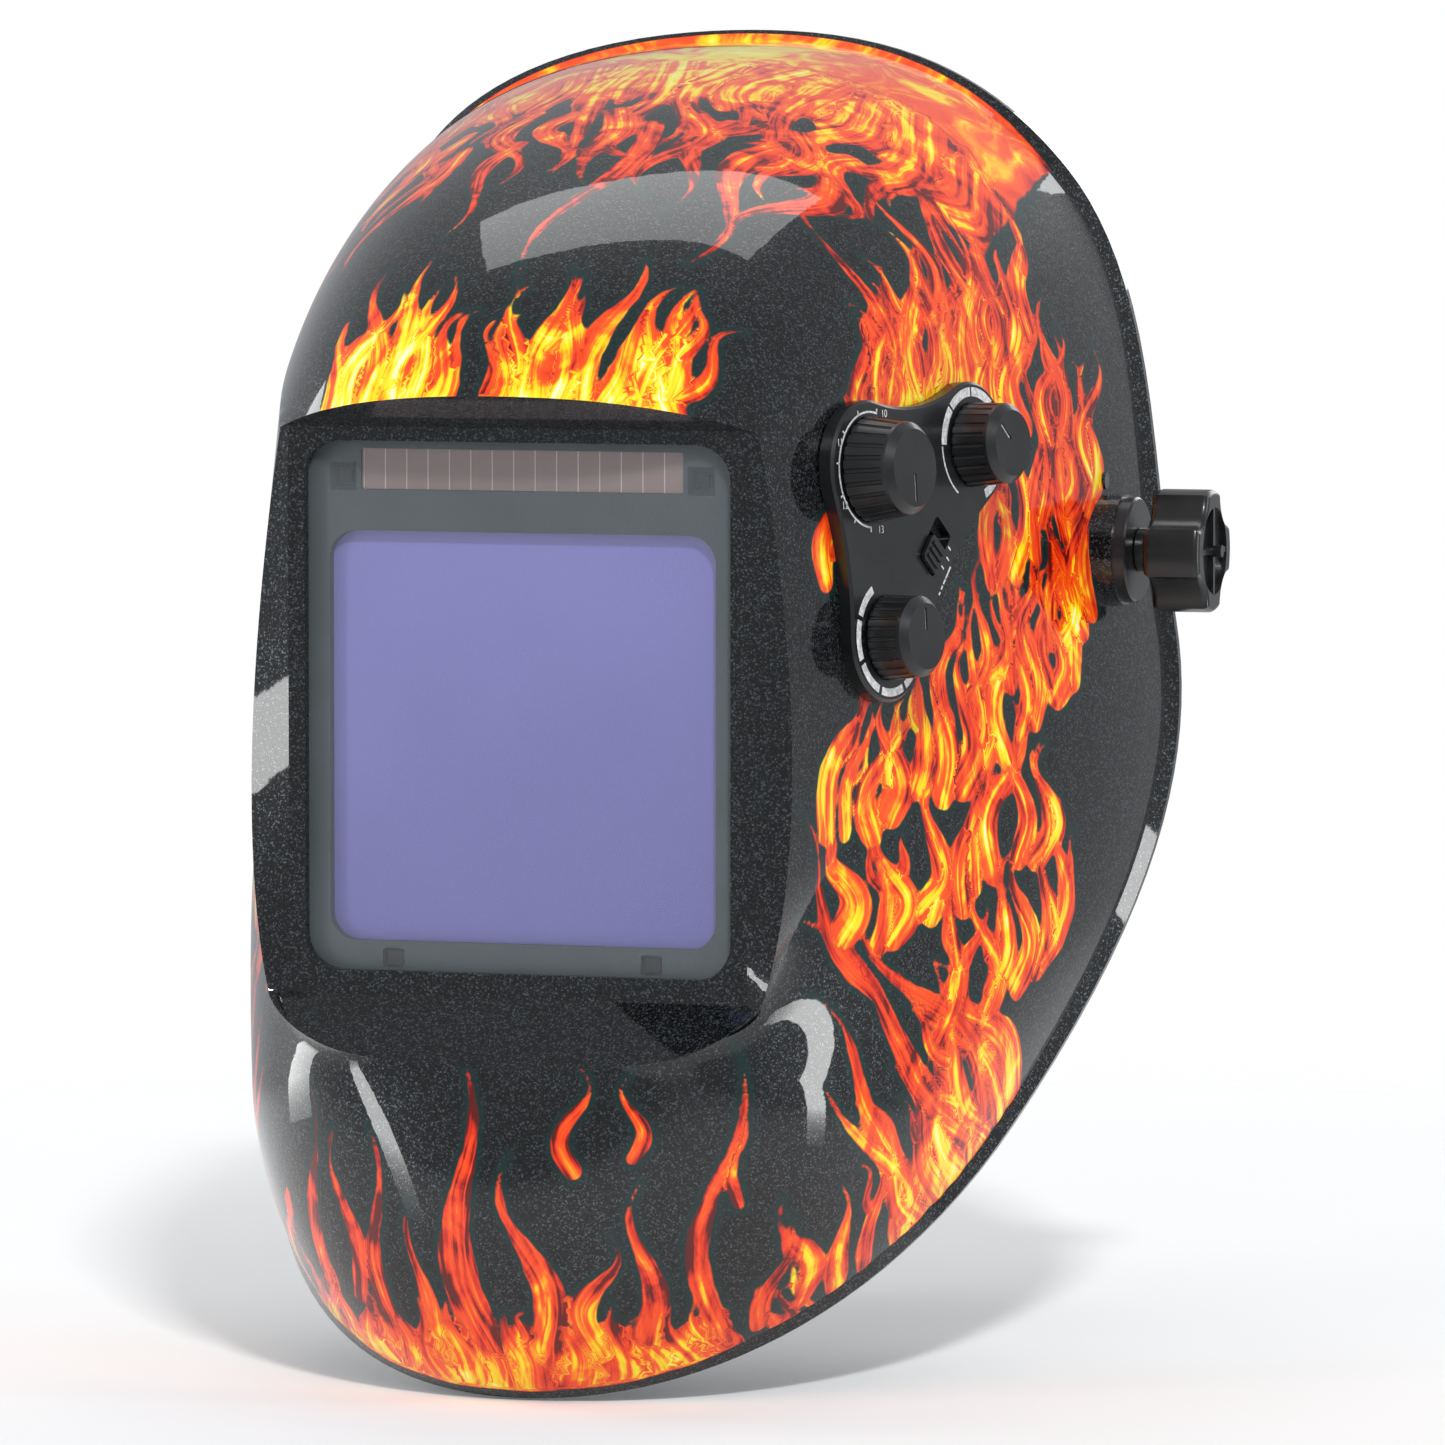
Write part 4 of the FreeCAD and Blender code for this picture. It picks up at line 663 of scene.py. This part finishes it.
def shell_paint():
    """Gloss lacquer over metal-flake black, with the flames airbrushed between the two."""
    m = Nodes("shell_lacquer")
    p = m.coords()
    edge, heat = m.attr("flame_edge"), m.attr("flame_heat")
    along, across = m.attr("flame_along"), m.attr("flame_across")
    ragged = m.math("MULTIPLY_ADD", m.noise(p, 110.0, 2.0, 0.5), 2.0, -1.0)
    d = m.math("ADD", edge, ragged)
    slow = m.join(m.math("MULTIPLY", along, 0.03), m.math("MULTIPLY", across, 0.05), 0.0)
    wave = m.noise(slow, 1.0, 2.0, 0.5)
    lane = m.math("MULTIPLY_ADD", wave, 3.0, m.math("MULTIPLY", across, 0.5))
    streak = m.noise(m.join(m.math("MULTIPLY", along, 0.028), lane, 0.0), 1.0, 3.0, 0.55, 0.3)
    swirl = m.noise(m.vmul(p, (1.0, 1.0, 0.55)), 60.0, 3.0, 0.55, 2.2)
    core = m.span(d, -0.4, -4.2)
    warmth = m.math("MULTIPLY_ADD", heat, 0.5, 0.02)
    warmth = m.math("MULTIPLY_ADD", core, 0.24, warmth)
    warmth = m.math("MULTIPLY_ADD", m.math("SUBTRACT", streak, 0.5), 1.7, warmth)
    warmth = m.math("MULTIPLY_ADD", m.math("SUBTRACT", swirl, 0.5), 1.2, warmth)
    fire = m.ramp(warmth, [(0.0, srgb("5e0a04")), (0.1, srgb("c41f08")), (0.24, srgb("f0400f")),
                           (0.42, srgb("fb5a12")), (0.52, srgb("ff9210")), (0.62, srgb("ffd400")),
                           (0.8, srgb("fff02a")), (0.98, srgb("fffac8"))])
    flake = m.voronoi(p, 2600.0, out="Color")
    spark = m.math("POWER", m.split(flake)[0], 7.0)
    mist = m.noise(p, 25.0, 3.0, 0.5)
    black = m.mix(m.math("MULTIPLY", spark, 0.5), srgb("060708"), srgb("7d858c"))
    black = m.mix(m.span(mist, 0.3, 0.75, 0.0, 0.2), black, srgb("0c0f12"))
    teal = m.span(d, 2.6, 0.2)
    ground = m.mix(m.math("MULTIPLY", teal, 0.8), black, srgb("042b2a"))
    inside = m.span(d, 0.25, -0.25)
    flaky = m.math("MULTIPLY_ADD", spark, 0.7, 0.1)
    m.set(Base_Color=m.mix(inside, ground, fire))
    m.set(Metallic=m.math("MULTIPLY", m.math("SUBTRACT", 1.0, inside), flaky))
    m.set(Roughness=m.math("MULTIPLY_ADD", m.noise(p, 300.0), 0.12, 0.3))
    m.set(Coat_Weight=1.0, Coat_Roughness=0.025, Coat_IOR=1.5, Specular_IOR_Level=0.08)
    peel = m.noise(p, 420.0, 2.0, 0.5)
    m.put(m.bsdf.inputs["Coat Normal"], m.bump(peel, 0.06, 0.04 * MM))
    m.put(m.bsdf.inputs["Normal"], m.bump(m.split(flake)[1], 0.12, 0.02 * MM))
    return m.mat


# ------------------------------------------------------------------ control panel print and pointers
PANEL_AT = Vector((87.8, -92.3, 2.2)) * MM
PANEL_OUT = Vector((0.9627, -0.2637, 0.0613)).normalized()
PANEL_UP = (Vector((0, 0, 1)) - PANEL_OUT * PANEL_OUT.z).normalized()
PANEL_BACK = PANEL_UP.cross(PANEL_OUT)
TO_PANEL = Matrix.Translation(PANEL_AT) @ Matrix((PANEL_BACK, PANEL_UP, PANEL_OUT)).transposed().to_4x4()
SHADE_AT, DELAY_AT, SENSE_AT = (-24.8, 22.8), (22.4, 27.3), (-20.5, -18.8)
# Each dial's place, its cap's radius and height, and the angle at which its pointer rests.
DIALS = {"shade": (SHADE_AT, 11.4, 13.0, -90), "delay": (DELAY_AT, 10.0, 12.0, 135),
         "sensitivity": (SENSE_AT, 10.0, 11.2, 90)}
INK_FROM_TO = (0.0, 0.06)    # the print's thickness over the panel's face


def flat_piece(name, bm, matrix, body, material):
    """A piece made from bm, moved by matrix, on a body."""
    mesh = bpy.data.meshes.new(name)
    bm.to_mesh(mesh)
    bm.free()
    mesh.transform(matrix)
    obj = bpy.data.objects.new(name, mesh)
    bpy.context.scene.collection.objects.link(obj)
    mesh.materials.append(material)
    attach(obj, body)
    return obj


def prism(bm, outline, z0, z1):
    """Closed solid over a flat outline (mm in the panel's frame)."""
    low = [bm.verts.new((x * MM, y * MM, z0 * MM)) for x, y in outline]
    high = [bm.verts.new((x * MM, y * MM, z1 * MM)) for x, y in outline]
    bm.faces.new(low[::-1])
    bm.faces.new(high)
    for i in range(len(low)):
        j = (i + 1) % len(low)
        bm.faces.new((low[i], low[j], high[j], high[i]))


def arc_mark(bm, at, r0, r1, a0, a1):
    """Printed arc from a0 to a1 degrees, anticlockwise."""
    n = max(2, int(abs(a1 - a0) / 5))
    turns = [math.radians(a0 + (a1 - a0) * i / n) for i in range(n + 1)]
    outline = [(at[0] + r1 * math.cos(a), at[1] + r1 * math.sin(a)) for a in turns]
    outline += [(at[0] + r0 * math.cos(a), at[1] + r0 * math.sin(a)) for a in reversed(turns)]
    prism(bm, outline, *INK_FROM_TO)


def bar_mark(bm, at, angle, r0, r1, width, z=INK_FROM_TO):
    """Printed bar from r0 to r1 along a line at angle degrees."""
    c, s = math.cos(math.radians(angle)), math.sin(math.radians(angle))
    h = width / 2
    corners = ((r0, -h), (r1, -h), (r1, h), (r0, h))
    prism(bm, [(at[0] + a * c - b * s, at[1] + a * s + b * c) for a, b in corners], *z)


def digits(text, at, size):
    """Plain digits as a thin closed mesh in the panel's frame."""
    curve = bpy.data.curves.new("digits", "FONT")
    curve.body = text
    curve.size = size * MM
    curve.extrude = INK_FROM_TO[1] / 2 * MM
    curve.align_x, curve.align_y = "CENTER", "CENTER"
    made = bpy.data.objects.new("digits", curve)
    bpy.context.scene.collection.objects.link(made)
    bpy.context.view_layer.update()
    mesh = bpy.data.meshes.new_from_object(made)
    bpy.data.objects.remove(made)
    mesh.transform(Matrix.Translation((at[0] * MM, at[1] * MM, curve.extrude)))
    return mesh


def panel_marks(ink):
    """The print round the dials: scales, a wedge of bars by the switch, and shade numbers."""
    bm = bmesh.new()
    arc_mark(bm, SHADE_AT, 14.0, 14.5, 75, 265)
    for a in (75, 108, 140, 172, 204, 236, 265):
        bar_mark(bm, SHADE_AT, a, 14.0, 15.4, 0.45)
    for inner, a0, a1 in ((12.1, 48, 88), (12.1, 91, 133), (12.1, 136, 178), (13.9, 180, 236),
                          (12.1, 290, 322)):
        arc_mark(bm, DELAY_AT, inner, 14.4, a0, a1)
    for a, sweep in ((116, 38), (158, 43), (205, 41), (250, 42), (296, 22)):
        arc_mark(bm, SENSE_AT, 12.6, 14.6, a + 1.2, a + sweep)
    for at in ((5.0, -2.2), (7.6, -0.2), (8.6, 2.4)):
        bar_mark(bm, at, -43, 0, 1.4, 0.4)
    for k in range(5):   # a plain wedge of bars beside the switch
        bar_mark(bm, (3.2 + k * 1.15, -9.4 + k * 1.3), 47, 0, 0.9 + k * 0.28, 0.5)
    for text, angle in (("10", 62), ("11", 152), ("12", 214), ("13", 282)):
        r = 15.3 if text in ("10", "13") else 15.0
        turn = math.radians(angle)
        at = (SHADE_AT[0] + r * math.cos(turn), SHADE_AT[1] + r * math.sin(turn))
        bm.from_mesh(digits(text, at, 2.7))
    return flat_piece("panel_marks", bm, TO_PANEL, "shell", ink)


def pointers(ink):
    """The white line in each dial's slot."""
    for name, (at, cap, height, angle) in DIALS.items():
        bm = bmesh.new()
        bar_mark(bm, at, angle, 1.6, cap - 3.1, 0.6, (height - 0.5, height - 0.42))
        flat_piece(name + "_pointer", bm, TO_PANEL, name + "_dial", ink)


def ink_material():
    m = Nodes("white_ink")
    p = m.coords()
    worn = m.noise(p, 900.0, 4.0, 0.7)
    m.set(Base_Color=m.mix(m.span(worn, 0.35, 0.7), srgb("b9babb"), srgb("f2f3f3")), Roughness=0.45,
          Normal=m.bump(worn, 0.2, 0.01 * MM))
    return m.mat


# ------------------------------------------------------------------ cartridge materials
CELL_PITCH, CELL_PHASE = 0.0056, 7.42


def cartridge_face():
    m = Nodes("cartridge_face")
    p = m.coords()
    grit = m.noise(p, 2400.0, 2.0, 0.6)
    cloud = m.noise(p, 40.0, 3.0)
    tone = m.mix(m.span(cloud, 0.25, 0.75), srgb("1e282d"), srgb("2c373c"))
    tone = m.mix(m.math("MULTIPLY", m.span(grit, 0.5, 0.8), 0.25), tone, srgb("59666b"))
    m.set(Base_Color=tone, Roughness=0.5, Normal=m.bump(grit, 0.35, 0.02 * MM))
    return m.mat


def filter_coating():
    """Violet interference coating: paler higher up and towards -x, with random patches and faint cloth marks.
    """
    m = Nodes("filter_coating")
    p = m.coords()
    x, _, z = m.split(p)
    # the colour grows paler with height (z) and towards -x, plus random patches
    drift = m.math("MULTIPLY_ADD", z, 5.5, 0.72)
    drift = m.math("MULTIPLY_ADD", x, -1.6, drift)
    drift = m.math("ADD", drift, m.math("MULTIPLY_ADD", m.noise(p, 14.0, 2.0), 0.5, -0.25))
    tone = m.mix(m.span(drift, 0.1, 0.9), srgb("605e9f"), srgb("7573b6"))
    speck = m.noise(p, 3200.0, 1.0)
    tone = m.mix(m.math("MULTIPLY", m.span(speck, 0.45, 0.75), 0.12), tone, srgb("5a58a2"))
    m.set(Base_Color=tone, Roughness=0.4)
    m.set(Coat_Weight=0.25, Coat_Roughness=0.05)
    return m.mat


def solar_cells():
    """A row of brown cells with a pale cut between them."""
    m = Nodes("solar_cells")
    p = m.coords()
    cell = m.math("MULTIPLY_ADD", m.split(p)[0], 1 / CELL_PITCH, CELL_PHASE)
    cut = m.math("LESS_THAN", m.math("FRACT", cell), 0.05)
    grain = m.noise(m.vmul(p, (1.0, 1.0, 0.12)), 2600.0, 2.0)
    which = m.noise(m.join(m.math("FLOOR", cell), 0.0, 0.0), 3.0)
    tone = m.mix(which, srgb("75615f"), srgb("8f7b79"))
    tone = m.mix(m.math("MULTIPLY", grain, 0.35), tone, srgb("5b4947"))
    tone = m.mix(cut, tone, srgb("b3a19d"))
    m.set(Base_Color=tone, Roughness=0.35, Coat_Weight=0.6, Coat_Roughness=0.05)
    return m.mat


def clear_sheet():
    m = Nodes("clear_sheet")
    p = m.coords()
    marks = m.noise(m.vmul(p, (1.0, 1.0, 0.25)), 240.0, 5.0, 0.7)
    m.set(Base_Color=(0.85, 0.9, 0.92, 1), Specular_IOR_Level=0.2, Alpha=0.04)
    m.set(Roughness=m.math("MULTIPLY_ADD", marks, 0.05, 0.02))
    m.mat.blend_method = "BLEND"
    return m.mat


def circuit_board():
    m = Nodes("circuit_board")
    p = m.coords()
    pads = m.voronoi(p, 420.0)
    tone = m.mix(m.span(pads, 0.12, 0.1), srgb("0c4a28"), srgb("b08a3a"))
    m.set(Base_Color=tone, Roughness=0.4, Normal=m.bump(pads, 0.2, 0.05 * MM))
    return m.mat


def woven_pad(name, colour):
    """Brushed warp-knit cloth over foam, with painted shade in the knit's hollows and a painted highlight on
    its raised fuzz.
    """
    m = Nodes(name)
    p = m.coords()
    fuzz = m.noise(p, 1500.0, 5.0, 0.75)
    knit = m.voronoi(p, 900.0)
    cloud = m.noise(p, 45.0, 3.0)
    # painted shade on the low fuzz and a painted highlight on the high fuzz, following the bump's height
    hollow_shade, fuzz_highlight = tuple(c * 0.55 for c in colour), tuple(c * 1.9 + 0.01 for c in colour)
    tone = m.mix(m.span(fuzz, 0.35, 0.75), hollow_shade, fuzz_highlight)
    tone = m.mix(m.math("MULTIPLY", cloud, 0.3), tone, tuple(c * 1.5 for c in colour))
    height = m.math("ADD", fuzz, m.math("MULTIPLY", knit, 0.8))
    m.set(Base_Color=tone, Roughness=0.92, Normal=m.bump(height, 0.7, 0.25 * MM))
    m.set(Sheen_Weight=0.5, Sheen_Roughness=0.5)
    return m.mat


# ------------------------------------------------------------------ soft pads
PAD_VOXEL, QUICK_VOXEL = 0.0022, 0.003
PRESSURE, CLOTH_FRAMES = 4.0, 15
TILT = Matrix.Rotation(math.radians(-18), 3, "X")      # the headband leans back by this much
SEAM_HALF_WIDTH, EDGE_HALF_WIDTH = 0.0016, 0.0014


def swollen(name, node, body, cap, shrink, cloth, seams):
    """A pad that stands for a CAD solid: pushed in by shrink, then blown out as cloth by up to cap."""
    cad = NODES[node]
    mesh = cad.data.copy()
    obj = bpy.data.objects.new(name, mesh)
    bpy.context.scene.collection.objects.link(obj)
    mesh.materials.clear()
    bm = bmesh.new()
    bm.from_mesh(mesh)
    bmesh.ops.remove_doubles(bm, verts=bm.verts, dist=1e-6)
    bm.to_mesh(mesh)
    bm.free()
    bpy.context.view_layer.objects.active = obj
    remesh = obj.modifiers.new("remesh", "REMESH")
    remesh.mode, remesh.voxel_size = "VOXEL", PAD_VOXEL
    bake(obj)
    mesh = obj.data
    start = positions(mesh)
    push_in(mesh, shrink)
    puff(obj)
    now = positions(obj.data)
    inner = start - normals_of(mesh) * shrink
    step = now - inner
    far = np.linalg.norm(step, axis=1, keepdims=True) + 1e-12
    now = inner + step / far * np.minimum(far, cap)
    obj.data.vertices.foreach_set("co", now.ravel())
    seams(obj.data)
    smooth = obj.modifiers.new("smooth", "SMOOTH")
    smooth.iterations, smooth.factor = 2, 0.5
    sub = obj.modifiers.new("sub", "SUBSURF")
    sub.levels = sub.render_levels = 1
    bake(obj)
    obj.data.shade_smooth()
    obj.data.materials.clear()
    obj.data.materials.append(cloth)
    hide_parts(node)
    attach(obj, body)
    return obj


def bake(obj):
    """Apply every modifier."""
    bpy.context.view_layer.update()
    graph = bpy.context.evaluated_depsgraph_get()
    mesh = bpy.data.meshes.new_from_object(obj.evaluated_get(graph))
    obj.modifiers.clear()
    obj.data = mesh


def positions(mesh):
    """The mesh's points as one array."""
    co = np.zeros(len(mesh.vertices) * 3)
    mesh.vertices.foreach_get("co", co)
    return co.reshape(-1, 3)


def normals_of(mesh):
    n = np.zeros(len(mesh.vertices) * 3)
    mesh.vertex_normals.foreach_get("vector", n)
    return n.reshape(-1, 3)


def push_in(mesh, by):
    """Move every point inwards along its normal."""
    co = positions(mesh) - normals_of(mesh) * by
    mesh.vertices.foreach_set("co", co.ravel())
    mesh.update()


def puff(obj):
    """Blow the pad up with a few frames of cloth simulation, and keep its last shape."""
    s = obj.modifiers.new("cloth", "CLOTH").settings
    s.quality = 6
    s.use_pressure, s.uniform_pressure_force = True, PRESSURE
    s.effector_weights.gravity = 0
    s.tension_stiffness = s.compression_stiffness = 12
    scene = bpy.context.scene
    for f in range(CLOTH_FRAMES):
        scene.frame_set(f + 1)
        bpy.context.view_layer.update()
    bake(obj)
    scene.frame_set(1)


def stitched(centre_y, rows, half_height, depth_mm, inner_r):
    """Sewn channels across a pad, and one seam round its edge."""
    def sew(mesh):
        co = positions(mesh)
        local = co @ np.array(TILT)          # the transpose of the inverse turn
        y = local[:, 1] - centre_y * MM
        a = np.degrees(np.arctan2(local[:, 0], np.abs(y)))
        r = np.hypot(local[:, 0], y)
        groove = np.zeros(len(co))
        for row in rows:
            off = np.radians(a - row) * r
            groove = np.maximum(groove, np.exp(-(off / SEAM_HALF_WIDTH) ** 2))
        edge = np.exp(-((np.abs(local[:, 2]) - half_height * MM) / EDGE_HALF_WIDTH) ** 2) * 0.6
        face = np.clip((inner_r * MM + 0.004 - r) / 0.003, 0, 1)
        push = (np.maximum(groove, edge) * face * depth_mm * MM)[:, None]
        out = np.column_stack((local[:, 0], y, np.zeros(len(co))))
        out /= np.linalg.norm(out, axis=1, keepdims=True) + 1e-9
        moved = local + out * push
        mesh.vertices.foreach_set("co", (moved @ np.array(TILT).T).ravel())
        mesh.update()
    return sew


# ------------------------------------------------------------------ floor and plain materials
def floor():
    """A pale disc just under the helmet, whose edge fades into the white of the studio."""
    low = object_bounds()[0][2] - 0.0005
    reach, rings, spokes = 1.5, 24, 96
    bm = bmesh.new()
    middle = bm.verts.new((0, 0, low))
    last = None
    for k in range(1, rings + 1):
        r = reach * k / rings
        ring = [bm.verts.new((r * math.cos(t), r * math.sin(t), low))
                for t in (2 * math.pi * i / spokes for i in range(spokes))]
        for i in range(spokes):
            j = (i + 1) % spokes
            bm.faces.new((middle, ring[i], ring[j]) if last is None else (last[i], ring[i], ring[j], last[j]))
        last = ring
    mesh = bpy.data.meshes.new("floor")
    bm.to_mesh(mesh)
    bm.free()
    obj = bpy.data.objects.new("floor", mesh)
    bpy.context.scene.collection.objects.link(obj)
    m = Nodes("pale_floor")
    p = m.coords()
    x, y, _ = m.split(p)
    away = m.math("SQRT", m.math("ADD", m.math("MULTIPLY", x, x), m.math("MULTIPLY", y, y)))
    m.set(Base_Color=m.mix(m.noise(p, 3.0), (0.9, 0.9, 0.9), (0.94, 0.94, 0.94)), Roughness=0.9)
    m.set(Specular_IOR_Level=0.0, Alpha=m.span(away, 0.22, 0.8, 1.0, 0.0))
    mesh.materials.append(m.mat)
    obj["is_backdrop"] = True


def materials():
    """The looks of every piece that stays as the CAD made it."""
    give(clear_sheet(), "front_cover_lens", "inner_cover_lens")
    give(cartridge_face(), "filter_housing", "filter_back")
    give(filter_coating(), "filter_glass")
    give(solar_cells(), "solar_panel")
    give(moulded("sensor_epoxy", srgb("16161c"), 0.15), "light_sensors")
    give(circuit_board(), "filter_board", "control_board")
    give(moulded("holder_black", srgb("1b1b1d"), 0.5, 0.5, 0.03), "lens_holder", "lens_latch",
         "control_box", "battery_tray")
    give(moulded("button_red", srgb("b3241c"), 0.6, 0.3, 0.02), "test_button")
    give(metal("screw_zinc", (0.52, 0.53, 0.55), 0.32), "holder_screws", "panel_screws",
         "ratchet_screws")
    give(moulded("panel_black", srgb("111214"), 0.3, 0.4, 0.012, coat=0.25), "control_panel", "mode_switch")
    give(moulded("knob_black", srgb("131416"), 0.36, 0.3, 0.02, coat=0.15),
         "shade_knob", "delay_knob", "sensitivity_knob")
    give(metal("pot_plate", (0.6, 0.6, 0.61), 0.35), "potentiometers", "pot_nuts", "coin_cell",
         "detent_spring")
    give(moulded("pivot_black", srgb("121315"), 0.3, 0.45, 0.02, coat=0.2), "tension_knob_left",
         "tension_knob_right", "pivot_washers", "pivot_arm_left", "pivot_arm_right", "pivot_bolts")
    give(moulded("strap_nylon", srgb("1c1c1e"), 0.48, 0.8, 0.05), "headband", "crown_strap_left",
         "crown_strap_right", "top_strap", "band_left", "band_right")
    give(moulded("ratchet_black", srgb("161618"), 0.42, 0.5, 0.03), "ratchet_housing", "ratchet_cover",
         "ratchet_knob")
    give(moulded("rivet_black", srgb("242426"), 0.4, 0.5, 0.02), "strap_rivets")


# Each lamp's place, what it faces, its width and height, and its power in watts.
LAMPS = {"key_left": ((-2.0, -1.85, 0.1), (0, 0, -0.03), (0.34, 2.4), 24),
         "side_left": ((-2.5, 0.3, 0.3), (0, 0, 0), (0.9, 2.0), 30),
         "top_soft": ((-0.2, 1.0, 2.4), (0, -0.05, 0), (2.2, 0.8), 12),
         "strip_right": ((2.4, 0.1, 0.2), (0.05, 0, 0), (0.25, 2.2), 18),
         "front_high": ((1.2, -2.3, 2.2), (0, 0, -0.03), (0.3, 0.3), 60),
         "back": ((0.6, 2.8, 0.9), (0, 0, 0), (1.4, 1.0), 14)}

camera()
world()
painted_shell()
materials()
INK = ink_material()
panel_marks(INK)
pointers(INK)
CLOTH = woven_pad("pad_cloth", srgb("2a2a2e"))
swollen("brow_pad", "sweatband", "headgear", 2.2 * MM, 1.6 * MM, CLOTH,
        stitched(-5, (-48, -24, 0, 24, 48), 11.5, 1.6, 74))
swollen("nape_cushion", "nape_pad", "headgear", 2.4 * MM, 1.8 * MM, CLOTH,
        stitched(25, (-12, 0, 12), 16.0, 1.8, 70.5))
floor()
for lamp_name, (lamp_at, lamp_aim, lamp_size, lamp_power) in LAMPS.items():
    area(lamp_name, lamp_at, lamp_aim, lamp_size, lamp_power)
